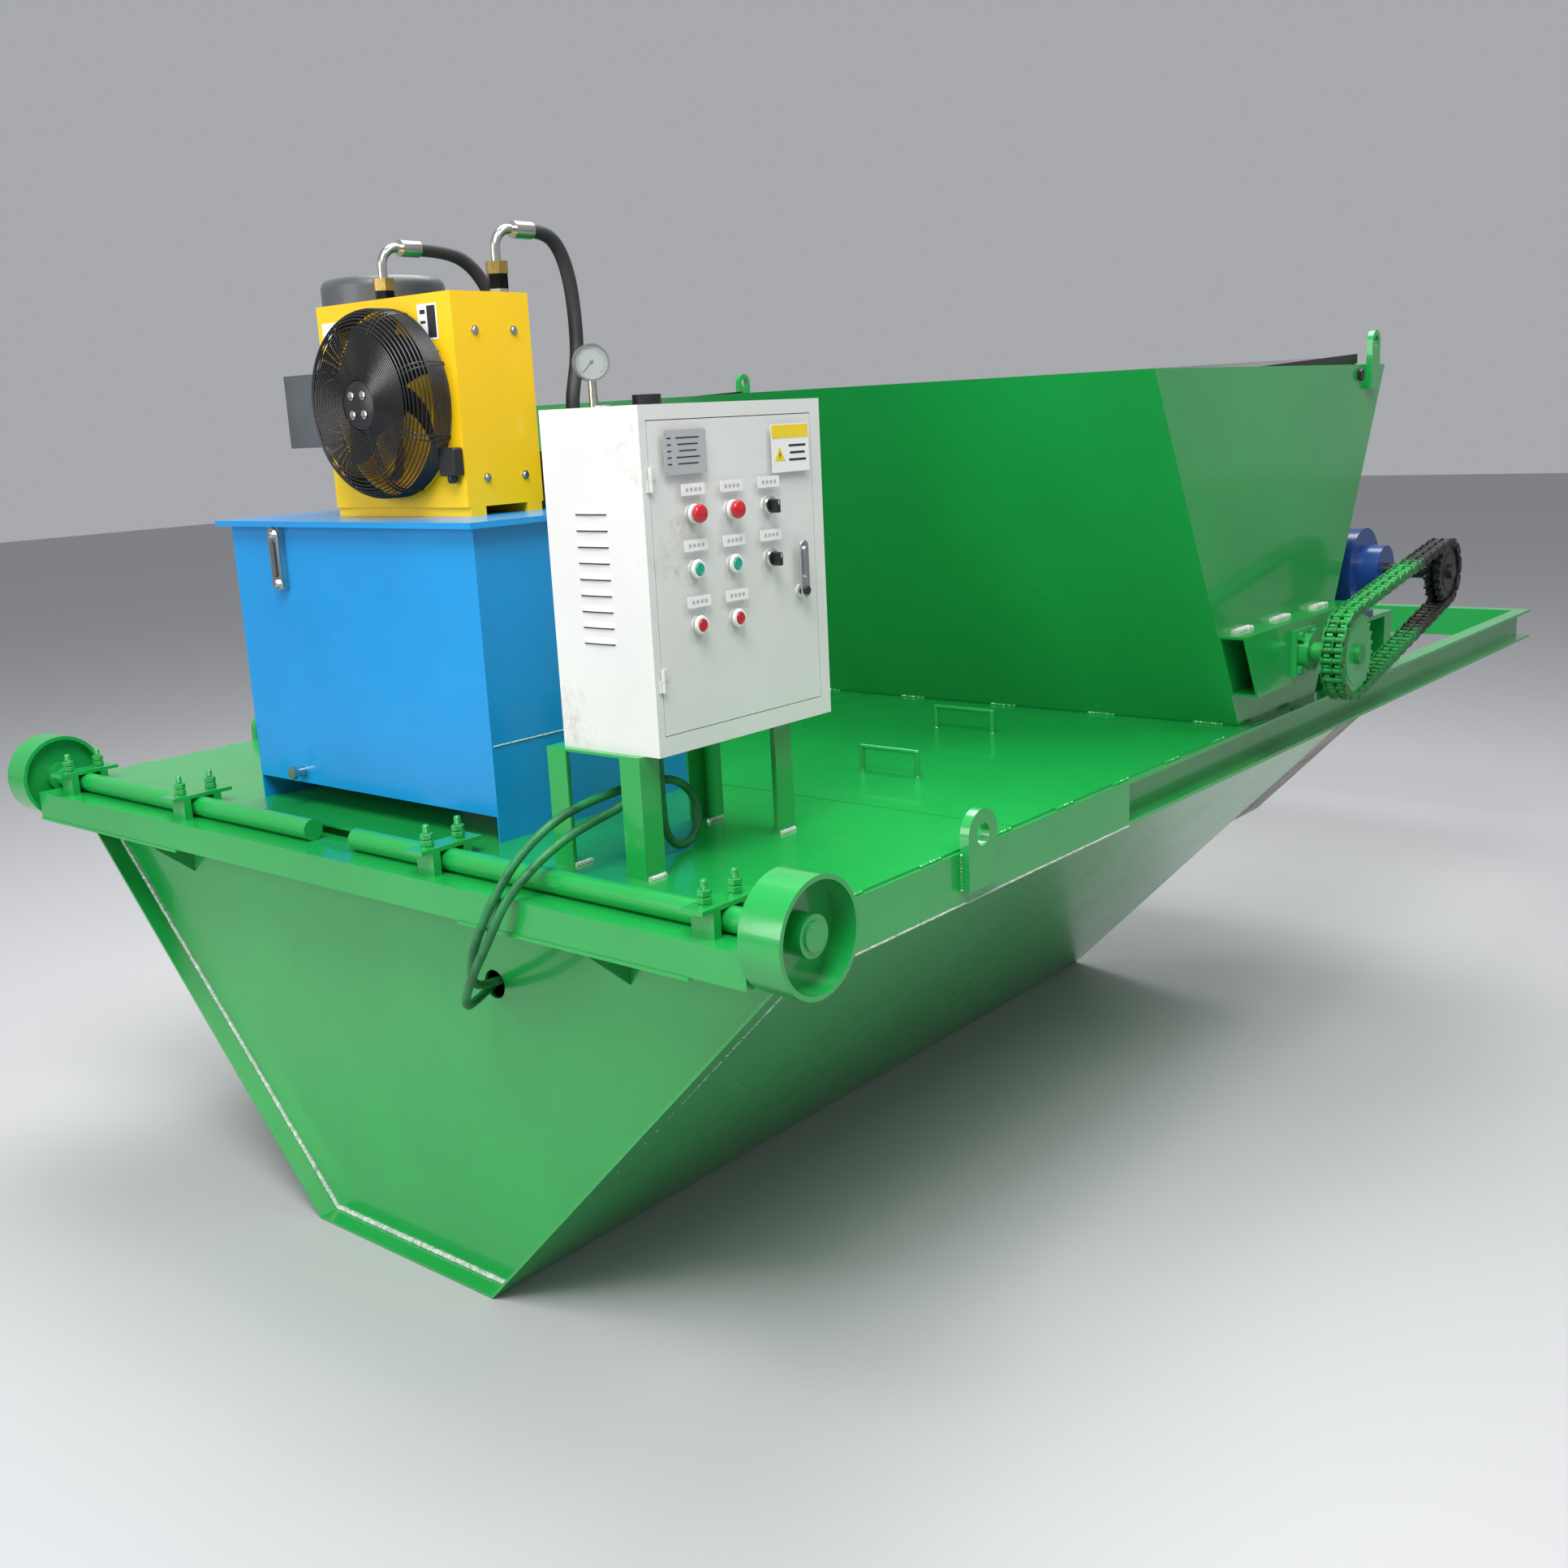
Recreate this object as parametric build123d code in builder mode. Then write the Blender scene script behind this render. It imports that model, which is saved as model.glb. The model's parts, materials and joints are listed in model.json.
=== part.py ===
"""Slip-form machine that lines a trapezoidal ditch with concrete.

Frame: millimetres, +Z up, +X from the power pack end to the open frame end, +Y to the left.
The origin is the centre of the hull's flat bottom.  Positions along the machine are counted
from the front face of the near cross beam, which lies at x = FRONT.
"""
from build123d import *
from math import asin, atan2, cos, degrees, hypot, pi, radians, sin, sqrt, tan
import os

os.makedirs("parts", exist_ok=True)

# ---------------------------------------------------------------- driving dimensions
HULL_LENGTH = 2465.0          # flat bottom, along X
HULL_SETBACK = 105.0          # hull starts this far behind the beam's face
HULL_PLATE = 6.0
BASE_HALF = 304.0             # half width of the flat bottom
DECK_Z = 968.0                # top of the deck above the ground
DECK_PLATE = 5.0
DECK_EDGE = 1150.0            # half width of the deck plates
RAIL_TIP = 1158.0             # half width over the rails' flanges
RAIL_HEIGHT = 100.0
RAIL_WIDTH = 48.0
RAIL_WEB = 5.3
RAIL_FLANGE = 8.5
MACHINE_LENGTH = 4357.0
COVERED_LENGTH = 1287.0       # stretch of rail closed by a flat cover plate
BEAM_DEPTH = 125.0
BEAM_HEIGHT = 63.0
BEAM_DROP = 20.0              # beam top below the deck
BEAM_WALL = 6.0
HATCH_START = 816.0
HOPPER_REAR = 1913.0          # hopper's rear plate at the deck
HOPPER_FRONT = 2400.0         # hopper's front plate at the deck
HOPPER_TOP_REAR = 1450.0
HOPPER_TOP_FRONT = 2850.0
HOPPER_HEIGHT = 865.0
HOPPER_HALF = 1131.0          # outer face of the hopper's side plates
HOPPER_PLATE = 5.0
TUBE_WIDTH = 69.0             # box tube along each hopper side
TUBE_LOW = 86.0
TUBE_HIGH = 242.0
TUBE_WALL = 6.0
BAR_RADIUS = 23.0             # axle bars
WHEEL_RADIUS = 102.5
WHEEL_WIDTH = 85.0
WHEEL_GAP = 10.0
AUGER_X = 2120.0
AUGER_Z = 164.0
AUGER_RADIUS = 25.0
CHAIN_PITCH = 25.4
CHAIN_LINKS = 78
DRIVE_TEETH = 20
AUGER_TEETH = 26
ROLLER_RADIUS = 7.94
TANK_X = (211.0, 781.0)
TANK_Y = (-334.0, 492.0)
TANK_LOW = 53.0
TANK_TOP = 635.0
LID_THICK = 12.0
LID_OVERHANG = 25.0
COOLER_X = (333.0, 535.0)
COOLER_Y = (-182.0, 262.0)
COOLER_Z = (653.0, 1075.0)
GUARD_RADIUS = 190.0
FAN_RADIUS = 165.0
MOTOR_AT = (615.0, 395.0)
MOTOR_RADIUS = 140.0
CABINET_X = (182.0, 674.0)
CABINET_Y = (-822.0, -578.0)
CABINET_Z = (227.0, 834.0)
CABINET_SHEET = 3.0
DOOR_X = (199.0, 645.0)
DOOR_Z = (262.0, 808.0)
DOOR_GAP = 1.5
LEG_SIZE = 50.0
HOSE_RADIUS = 15.0
CABLE_RADIUS = 8.5
RAM_START = 1850.0
RAM_CLEAR = 3.0
RUNNING = 0.05                # radial clearance of a shaft in its bore
SEAT = 0.3                    # clearance between bodies that slide past each other

# ---------------------------------------------------------------- derived places
FRONT = -(HULL_SETBACK + HULL_LENGTH / 2)
RAIL_TOP = DECK_Z - DECK_PLATE
RAIL_BOTTOM = RAIL_TOP - RAIL_HEIGHT
WEB_INNER = RAIL_TIP - RAIL_WIDTH
HULL_TOP_HALF = 1145.0
SLOPE = (HULL_TOP_HALF - BASE_HALF) / RAIL_BOTTOM
SLANT = sqrt(1 + SLOPE ** 2)
BEAM_TOP = DECK_Z - BEAM_DROP
BAR_Z = BEAM_TOP + BAR_RADIUS
BAR_X = FRONT + 74.0
LID_TOP = DECK_Z + TANK_TOP
BOTH_SIDES = (-1, 1)


def inner_half(height):
    """Half width inside the hull's sloping plates at a height above the ground."""
    return BASE_HALF + SLOPE * height - HULL_PLATE * SLANT


def save(piece, name):
    piece.part.label = name
    export_step(piece.part, f"parts/{name}.step")


def block(xs, ys, zs, mode=Mode.ADD):
    """A rectangular block between two limits on each axis."""
    with Locations((sum(xs) / 2, sum(ys) / 2, sum(zs) / 2)):
        Box(xs[1] - xs[0], ys[1] - ys[0], zs[1] - zs[0], mode=mode)


def prism(plane, points, depth, mode=Mode.ADD):
    """A straight-sided outline on a plane, extruded along the plane's normal."""
    with BuildSketch(plane) as outline:
        with BuildLine():
            Polyline(*points, close=True)
        make_face()
    extrude(outline.sketch, amount=depth, mode=mode)


def across(y):
    """A plane across Y whose local axes are X and Z; it extrudes towards +Y."""
    return Plane(origin=(0, y, 0), x_dir=(-1, 0, 0), z_dir=(0, 1, 0))


def profile_y(points, y_low, y_high, mode=Mode.ADD):
    """An outline in X and Z carried from y_low to y_high."""
    prism(across(y_low), [(-x, z) for x, z in points], y_high - y_low, mode)


def profile_x(points, x_low, x_high, mode=Mode.ADD):
    """An outline in Y and Z carried from x_low to x_high."""
    prism(Plane.YZ.offset(x_low), points, x_high - x_low, mode)


def drum(start, axis, radius, length, mode=Mode.ADD):
    """A cylinder that starts at a point and runs along an axis."""
    with Locations(Plane(origin=start, z_dir=axis)):
        Cylinder(radius, length, align=(Align.CENTER, Align.CENTER, Align.MIN), mode=mode)


def hexagon(start, axis, radius, length):
    """A hexagonal nut or head, radius to its corners."""
    with BuildSketch(Plane(origin=start, z_dir=axis)) as outline:
        RegularPolygon(radius, 6)
    extrude(outline.sketch, amount=length)


def path_radii(points):
    """The arc radius at each corner of a cord: 0.45 of the shorter run over tan(half turn)."""
    radii = []
    for before, corner, after in zip(points, points[1:], points[2:]):
        run_in = Vector(*corner) - Vector(*before)
        run_out = Vector(*after) - Vector(*corner)
        half_turn = radians(run_in.get_angle(run_out)) / 2
        radii.append(0.45 * min(run_in.length, run_out.length) / tan(half_turn))
    return radii


def cord(points, radius, name):
    """A tube along straight runs joined by tangent arcs."""
    radii = path_radii(points)
    with BuildPart() as tube:
        with BuildLine() as route:
            FilletPolyline(*points, radius=radii)
        start = route.line @ 0
        with BuildSketch(Plane(origin=start, z_dir=route.line % 0)):
            Circle(radius)
        sweep(path=route.line)
    length = sum(edge.length for edge in route.edges())
    share = tube.part.volume / (pi * radius ** 2 * length)
    print(f"{name}: length {length:.0f} mm, radii {[round(r) for r in radii]}, volume share {share:.4f}")
    save(tube, name)


# ================================================================ hull
with BuildPart() as hull_shell:
    hull_x = (FRONT + HULL_SETBACK, FRONT + HULL_SETBACK + HULL_LENGTH)
    right_outline = [(BASE_HALF, 0), (HULL_TOP_HALF, RAIL_BOTTOM), (inner_half(RAIL_BOTTOM), RAIL_BOTTOM),
                     (inner_half(HULL_PLATE), HULL_PLATE)]
    left_outline = [(-y, z) for y, z in reversed(right_outline)]
    profile_x(right_outline + left_outline, *hull_x)
save(hull_shell, "hull_shell")

END_PLATE_X = FRONT + 155.0
CABLE_HOLE = (-345.0, DECK_Z - 278.0)
BULKHEAD_X = FRONT + 962.0
BULKHEAD_TOP = 620.0
with BuildPart() as hull_bulkheads:
    half_outline = [(inner_half(HULL_PLATE), HULL_PLATE), (inner_half(RAIL_BOTTOM), RAIL_BOTTOM),
                    (WEB_INNER, RAIL_BOTTOM), (WEB_INNER, RAIL_TOP)]
    mirrored = [(-y, z) for y, z in reversed(half_outline)]
    profile_x(half_outline + mirrored, END_PLATE_X, END_PLATE_X + 8)
    drum((END_PLATE_X, *CABLE_HOLE), (1, 0, 0), 30, 8, Mode.SUBTRACT)
    half_outline = [(inner_half(z), z) for z in (HULL_PLATE, BULKHEAD_TOP)]
    mirrored = [(-y, z) for y, z in reversed(half_outline)]
    profile_x(half_outline + mirrored, BULKHEAD_X, BULKHEAD_X + 12)
save(hull_bulkheads, "hull_bulkheads")

with BuildPart() as side_extension_plates:
    extension_x = (hull_x[1], hull_x[1] + 180)
    low, high = DECK_Z - 430, RAIL_BOTTOM
    for side in BOTH_SIDES:
        outer = [(side * (BASE_HALF + SLOPE * z), z) for z in (low, high)]
        inner = [(side * inner_half(z), z) for z in (high, low)]
        profile_x(outer + inner, *extension_x)
save(side_extension_plates, "side_extension_plates")

# ================================================================ frame
with BuildPart() as side_rails:
    rail_x = (FRONT + BEAM_DEPTH, FRONT + MACHINE_LENGTH)
    for side in BOTH_SIDES:
        web = sorted((side * WEB_INNER, side * (WEB_INNER + RAIL_WEB)))
        span = sorted((side * WEB_INNER, side * RAIL_TIP))
        cover = sorted((side * (RAIL_TIP - 6), side * RAIL_TIP))
        block(rail_x, web, (RAIL_BOTTOM, RAIL_TOP))
        block(rail_x, span, (RAIL_TOP - RAIL_FLANGE, RAIL_TOP))
        block(rail_x, span, (RAIL_BOTTOM, RAIL_BOTTOM + RAIL_FLANGE))
        block((rail_x[0], FRONT + COVERED_LENGTH), cover, (RAIL_BOTTOM, RAIL_TOP))
save(side_rails, "side_rails")

BEARER = 50.0
BEARER_STARTS = (HATCH_START - BEARER / 2, HOPPER_REAR - BEARER, HOPPER_FRONT)
with BuildPart() as frame_cross_members:
    for start in BEARER_STARTS:
        bearer_x = (FRONT + start, FRONT + start + BEARER)
        block(bearer_x, (-WEB_INNER, WEB_INNER), (RAIL_BOTTOM, RAIL_TOP))
        hollow = (bearer_x[0] + 4, bearer_x[1] - 4)
        block(hollow, (-WEB_INNER, WEB_INNER), (RAIL_BOTTOM + 4, RAIL_TOP - 4), Mode.SUBTRACT)
    end_x = (FRONT + MACHINE_LENGTH - RAIL_WIDTH, FRONT + MACHINE_LENGTH)
    block((end_x[0], end_x[0] + RAIL_WEB), (-WEB_INNER, WEB_INNER), (RAIL_BOTTOM, RAIL_TOP))
    for z in (RAIL_BOTTOM, RAIL_TOP - RAIL_FLANGE):
        block(end_x, (-WEB_INNER, WEB_INNER), (z, z + RAIL_FLANGE))
save(frame_cross_members, "frame_cross_members")

with BuildPart() as cross_beam:
    beam_z = (BEAM_TOP - BEAM_HEIGHT, BEAM_TOP)
    block((FRONT, FRONT + BEAM_DEPTH), (-RAIL_TIP, RAIL_TIP), beam_z)
    hollow_x = (FRONT + BEAM_WALL, FRONT + BEAM_DEPTH - BEAM_WALL)
    hollow_y = (-RAIL_TIP + BEAM_WALL, RAIL_TIP - BEAM_WALL)
    block(hollow_x, hollow_y, (beam_z[0] + BEAM_WALL, beam_z[1] - BEAM_WALL), Mode.SUBTRACT)
    for y_low, y_high in ((535, RAIL_TIP), (-1033, -449)):
        block((FRONT - 3, FRONT + 60), (y_low, y_high), (beam_z[0] - 6, beam_z[0]))
    for y in (745, -735):
        foot = (FRONT + 20, beam_z[0] - 6)
        corner = (END_PLATE_X, beam_z[0] - 6)
        tip = (END_PLATE_X, beam_z[0] - 120)
        profile_y([foot, corner, tip], y, y + 8)
    for y in (745, -735):
        block((FRONT + 60, END_PLATE_X), (y - 20, y + 28), (beam_z[0] - 6, beam_z[0]))
save(cross_beam, "cross_beam")

with BuildPart() as rear_deck:
    block((FRONT + BEAM_DEPTH, FRONT + HATCH_START), (-DECK_EDGE, DECK_EDGE), (RAIL_TOP, DECK_Z))
save(rear_deck, "rear_deck")

# ---------------------------------------------------------------- lifting lugs
with BuildPart() as lifting_lugs:
    lug_x = FRONT + 667
    for side in BOTH_SIDES:
        low_y = RAIL_TIP if side > 0 else -RAIL_TIP - 20
        block((lug_x - 50, lug_x + 50), (low_y, low_y + 20), (DECK_Z - 80, DECK_Z + 23))
        drum((lug_x, low_y, DECK_Z + 23), (0, 1, 0), 50, 20)
        drum((lug_x, low_y, DECK_Z + 23), (0, 1, 0), 21.5, 20, Mode.SUBTRACT)
    hopper_lug = (FRONT + HOPPER_TOP_FRONT - 115, DECK_Z + HOPPER_HEIGHT + 60)
    for side in BOTH_SIDES:
        low_y = HOPPER_HALF if side > 0 else -HOPPER_HALF - 16
        lug_z = (hopper_lug[1] - 125, hopper_lug[1])
        block((hopper_lug[0] - 30, hopper_lug[0] + 30), (low_y, low_y + 16), lug_z)
        drum((hopper_lug[0], low_y, hopper_lug[1]), (0, 1, 0), 30, 16)
        drum((hopper_lug[0], low_y, hopper_lug[1]), (0, 1, 0), 16, 16, Mode.SUBTRACT)
save(lifting_lugs, "lifting_lugs")

# ================================================================ guide wheels on clamped axle bars
CLAMP_Y = (1060.0, 550.0, -330.0, -1045.0)
CLAMP_HALF = 25.0
STUD_REACH = 38.0
STUD_RADIUS = 7.0
CLAMP_TOP = BAR_Z + BAR_RADIUS + SEAT
with BuildPart() as axle_clamps:
    for y in CLAMP_Y:
        for reach in (-STUD_REACH, STUD_REACH):
            spacer_x = (BAR_X + reach - 9, BAR_X + reach + 9)
            block(spacer_x, (y - CLAMP_HALF, y + CLAMP_HALF), (BEAM_TOP, CLAMP_TOP))
        block((BAR_X - 72, BAR_X + 76), (y - CLAMP_HALF, y + CLAMP_HALF), (CLAMP_TOP, CLAMP_TOP + 8))
        for reach in (-STUD_REACH, STUD_REACH):
            height = CLAMP_TOP + 8 - BEAM_TOP
            drum((BAR_X + reach, y, BEAM_TOP), (0, 0, 1), STUD_RADIUS + 0.3, height, Mode.SUBTRACT)
save(axle_clamps, "axle_clamps")

with BuildPart() as clamp_bolts:
    for y in CLAMP_Y:
        for reach in (-STUD_REACH, STUD_REACH):
            drum((BAR_X + reach, y, BEAM_TOP), (0, 0, 1), STUD_RADIUS, CLAMP_TOP + 8 - BEAM_TOP + 44)
            for level in (0, 15):
                hexagon((BAR_X + reach, y, CLAMP_TOP + 8 + level), (0, 0, 1), 13, 12)
save(clamp_bolts, "clamp_bolts")

WHEEL_INNER = RAIL_TIP + WHEEL_GAP
HUB_BORE = 20.0
INNER_END = {"left": 102.0, "right": 50.0}
for side_name, side in (("left", 1), ("right", -1)):
    out = (0, side, 0)
    inner_end = INNER_END[side_name]
    with BuildPart() as axle_bar:
        drum((BAR_X, side * inner_end, BAR_Z + SEAT / 2), out, BAR_RADIUS, WHEEL_INNER - inner_end)
        drum((BAR_X, side * inner_end, BAR_Z + SEAT / 2), out, HUB_BORE, WHEEL_INNER - inner_end + 68)
    save(axle_bar, f"axle_bar_{side_name}")
    with BuildPart() as wheel:
        face = side * (WHEEL_INNER + SEAT)
        centre = (BAR_X, face, BAR_Z + SEAT / 2)
        drum(centre, out, WHEEL_RADIUS, WHEEL_WIDTH)
        web_low, web_high = 24.0, 36.0
        drum(centre, out, WHEEL_RADIUS - 9, web_low, Mode.SUBTRACT)
        dish = (BAR_X, face + side * web_high, BAR_Z + SEAT / 2)
        drum(dish, out, WHEEL_RADIUS - 9, WHEEL_WIDTH - web_high, Mode.SUBTRACT)
        drum(centre, out, 36, 72)
        drum(centre, out, 25, 76)
        drum(centre, out, HUB_BORE + RUNNING, 70, Mode.SUBTRACT)
    save(wheel, f"wheel_{side_name}")

# ================================================================ hatch covers
HATCH_EDGE_GAP = 3.0
HATCH_X = (FRONT + HATCH_START + HATCH_EDGE_GAP, FRONT + HOPPER_REAR - 5)
HANDLE_HEIGHT = 62.0
HANDLE_WIRE = 6.0
HANDLES = ((FRONT + 1085, 586, 739), (FRONT + 1576, 459, 628))
for side_name, side in (("left", 1), ("right", -1)):
    with BuildPart() as hatch:
        hatch_y = sorted((side * 2, side * (DECK_EDGE - 2)))
        block(HATCH_X, hatch_y, (RAIL_TOP, DECK_Z))
        for handle_x, y_low, y_high in HANDLES:
            bar_z = DECK_Z + HANDLE_HEIGHT - HANDLE_WIRE
            for y in (y_low, y_high):
                drum((handle_x, side * y, DECK_Z), (0, 0, 1), HANDLE_WIRE, HANDLE_HEIGHT - HANDLE_WIRE)
                with Locations((handle_x, side * y, bar_z)):
                    Sphere(HANDLE_WIRE)
            drum((handle_x, side * y_low, bar_z), (0, side, 0), HANDLE_WIRE, y_high - y_low)
    save(hatch, f"hatch_{side_name}")

# ================================================================ hopper
REAR_LEAN = (HOPPER_REAR - HOPPER_TOP_REAR) / HOPPER_HEIGHT
FRONT_LEAN = (HOPPER_TOP_FRONT - HOPPER_FRONT) / HOPPER_HEIGHT
HOPPER_INSIDE = HOPPER_HALF - HOPPER_PLATE
HOPPER_TOP = DECK_Z + HOPPER_HEIGHT


def rear_at(height):
    return FRONT + HOPPER_REAR - REAR_LEAN * height


def front_at(height):
    return FRONT + HOPPER_FRONT + FRONT_LEAN * height


PLATE_RUN = HOPPER_PLATE * sqrt(1 + REAR_LEAN ** 2)
with BuildPart() as hopper_rear_plate:
    base, top = rear_at(0), rear_at(HOPPER_HEIGHT)
    outline = [(base, RAIL_TOP), (base + PLATE_RUN, RAIL_TOP), (base + PLATE_RUN, DECK_Z),
               (top + PLATE_RUN, HOPPER_TOP), (top, HOPPER_TOP), (base, DECK_Z)]
    profile_y(outline, -HOPPER_INSIDE, HOPPER_INSIDE)
save(hopper_rear_plate, "hopper_rear_plate")

with BuildPart() as hopper_front_plate:
    base, top = front_at(0), front_at(HOPPER_HEIGHT)
    outline = [(base - PLATE_RUN, RAIL_TOP), (base, RAIL_TOP), (base, DECK_Z), (top, HOPPER_TOP),
               (top - PLATE_RUN, HOPPER_TOP), (base - PLATE_RUN, DECK_Z)]
    profile_y(outline, -HOPPER_INSIDE, HOPPER_INSIDE)
save(hopper_front_plate, "hopper_front_plate")

SHAFT_HOLE = 32.0
AUGER_CENTRE = (FRONT + AUGER_X, DECK_Z + AUGER_Z)
PIVOT = (FRONT + HOPPER_TOP_FRONT - 195, HOPPER_TOP - 27)
PIN_RADIUS = 8.0
with BuildPart() as hopper_side_plates:
    outline = [(rear_at(0), RAIL_TOP), (front_at(0), RAIL_TOP), (front_at(0), DECK_Z),
               (front_at(HOPPER_HEIGHT), HOPPER_TOP), (rear_at(HOPPER_HEIGHT), HOPPER_TOP),
               (rear_at(0), DECK_Z)]
    for y_low in (HOPPER_INSIDE, -HOPPER_HALF):
        profile_y(outline, y_low, y_low + HOPPER_PLATE)
        drum((AUGER_CENTRE[0], y_low, AUGER_CENTRE[1]), (0, 1, 0), SHAFT_HOLE, HOPPER_PLATE, Mode.SUBTRACT)
        drum((PIVOT[0], y_low, PIVOT[1]), (0, 1, 0), PIN_RADIUS + RUNNING, HOPPER_PLATE, Mode.SUBTRACT)
save(hopper_side_plates, "hopper_side_plates")

TUBE_OUTER = HOPPER_HALF + TUBE_WIDTH
with BuildPart() as hopper_tubes:
    def tube_outline(low, high):
        return [(rear_at(low), DECK_Z + low), (front_at(low), DECK_Z + low),
                (front_at(high), DECK_Z + high), (rear_at(high), DECK_Z + high)]
    for side in BOTH_SIDES:
        outer = sorted((side * HOPPER_HALF, side * TUBE_OUTER))
        inner = sorted((side * (HOPPER_HALF + TUBE_WALL), side * (TUBE_OUTER - TUBE_WALL)))
        profile_y(tube_outline(TUBE_LOW, TUBE_HIGH), *outer)
        profile_y(tube_outline(TUBE_LOW + TUBE_WALL, TUBE_HIGH - TUBE_WALL), *inner, Mode.SUBTRACT)
        drum((AUGER_CENTRE[0], outer[0], AUGER_CENTRE[1]), (0, 1, 0), SHAFT_HOLE, TUBE_WIDTH, Mode.SUBTRACT)
save(hopper_tubes, "hopper_tubes")

# ---------------------------------------------------------------- grate over the hopper
GRATE_RISE = radians(2.5)
GRATE_DROP = 24.0                     # top of the grate's rear end, below the hopper's rim
RUNNER_DEPTH = 25.0
RUNNER_THICK = 8.0
RUNNER_HALF = 1112.0
ROD_RADIUS = 7.0
ROD_COUNT = 25
HANGER_RADIUS = 20.0
GRATE_NEAR = rear_at(HOPPER_HEIGHT - GRATE_DROP - RUNNER_DEPTH) + PLATE_RUN + SEAT
GRATE_FAR = PIVOT[0] + 35.0


def grate_z(x):
    """Underside of the grate's runners, which rise towards the front of the hopper."""
    return HOPPER_TOP - GRATE_DROP - RUNNER_DEPTH + (x - GRATE_NEAR) * tan(GRATE_RISE)


with BuildPart() as grate:
    for side in BOTH_SIDES:
        near_z, far_z = grate_z(GRATE_NEAR), grate_z(GRATE_FAR)
        runner = [(GRATE_NEAR, near_z), (GRATE_FAR, far_z),
                  (GRATE_FAR, far_z + RUNNER_DEPTH), (GRATE_NEAR, near_z + RUNNER_DEPTH)]
        runner_y = sorted((side * (RUNNER_HALF - RUNNER_THICK), side * RUNNER_HALF))
        profile_y(runner, *runner_y)
        hanger_z = (PIVOT[1], grate_z(PIVOT[0]) + 5)
        block((PIVOT[0] - HANGER_RADIUS, PIVOT[0] + HANGER_RADIUS), runner_y, hanger_z)
        drum((PIVOT[0], runner_y[0], PIVOT[1]), (0, 1, 0), HANGER_RADIUS, RUNNER_THICK)
        drum((PIVOT[0], side * (RUNNER_HALF - RUNNER_THICK / 2), PIVOT[1]), (0, side, 0), PIN_RADIUS,
             HOPPER_HALF - RUNNER_HALF + 6)
        hexagon((PIVOT[0], side * (HOPPER_HALF + SEAT), PIVOT[1]), (0, side, 0), 16, 10)
    rod_y = RUNNER_HALF - RUNNER_THICK / 2
    for i in range(ROD_COUNT):
        x = GRATE_NEAR + 15 + i * (GRATE_FAR - GRATE_NEAR - 30) / (ROD_COUNT - 1)
        drum((x, -rod_y, grate_z(x) + RUNNER_DEPTH / 2), (0, 1, 0), ROD_RADIUS, 2 * rod_y)
save(grate, "grate")

# ================================================================ agitator drive
TUBE_FACE = TUBE_OUTER
BEARING_THICK = 36.0
SPROCKET_Y = (-1345.0, -1300.0)
DISC = 14.5
with BuildPart() as flange_bearings:
    for side in BOTH_SIDES:
        start = (AUGER_CENTRE[0], side * TUBE_FACE, AUGER_CENTRE[1])
        plate = sorted((side * TUBE_FACE, side * (TUBE_FACE + 14)))
        block((start[0] - 58, start[0] + 58), plate, (start[2] - 58, start[2] + 58))
        drum(start, (0, side, 0), 46, BEARING_THICK)
        for dx in (-42, 42):
            for dz in (-42, 42):
                hexagon((start[0] + dx, side * (TUBE_FACE + 14), start[2] + dz), (0, side, 0), 12, 10)
        drum(start, (0, side, 0), AUGER_RADIUS + RUNNING, BEARING_THICK, Mode.SUBTRACT)
save(flange_bearings, "flange_bearings")


def pitch_radius(teeth):
    return CHAIN_PITCH / (2 * sin(pi / teeth))


def sprocket_disc(centre, y_low, thick, teeth, phase):
    """A toothed disc: an outer circle with a roller seat cut on the pitch circle at each gap."""
    pitch_r = pitch_radius(teeth)
    with BuildSketch(across(y_low)) as outline:
        with Locations((-centre[0], centre[1])):
            Circle(pitch_r + 3.5)
            for i in range(teeth):
                angle = phase + 2 * pi * i / teeth
                for reach, radius in ((0, ROLLER_RADIUS + 1.2), (5, ROLLER_RADIUS + 2)):
                    spot = (-(pitch_r + reach) * cos(angle), (pitch_r + reach) * sin(angle))
                    with Locations(spot):
                        Circle(radius, mode=Mode.SUBTRACT)
    extrude(outline.sketch, amount=thick)


DRIVE_RADIUS = pitch_radius(DRIVE_TEETH)
FOLLOW_RADIUS = pitch_radius(AUGER_TEETH)
SPREAD = CHAIN_LINKS - (DRIVE_TEETH + AUGER_TEETH) / 2
TOOTH_TERM = ((AUGER_TEETH - DRIVE_TEETH) / (2 * pi)) ** 2
CHAIN_CENTRES = CHAIN_PITCH / 4 * (SPREAD + sqrt(SPREAD ** 2 - 8 * TOOTH_TERM))
DRIVE_RISE = 132.0
DRIVE_CENTRE = (AUGER_CENTRE[0] + sqrt(CHAIN_CENTRES ** 2 - DRIVE_RISE ** 2), AUGER_CENTRE[1] + DRIVE_RISE)


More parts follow.
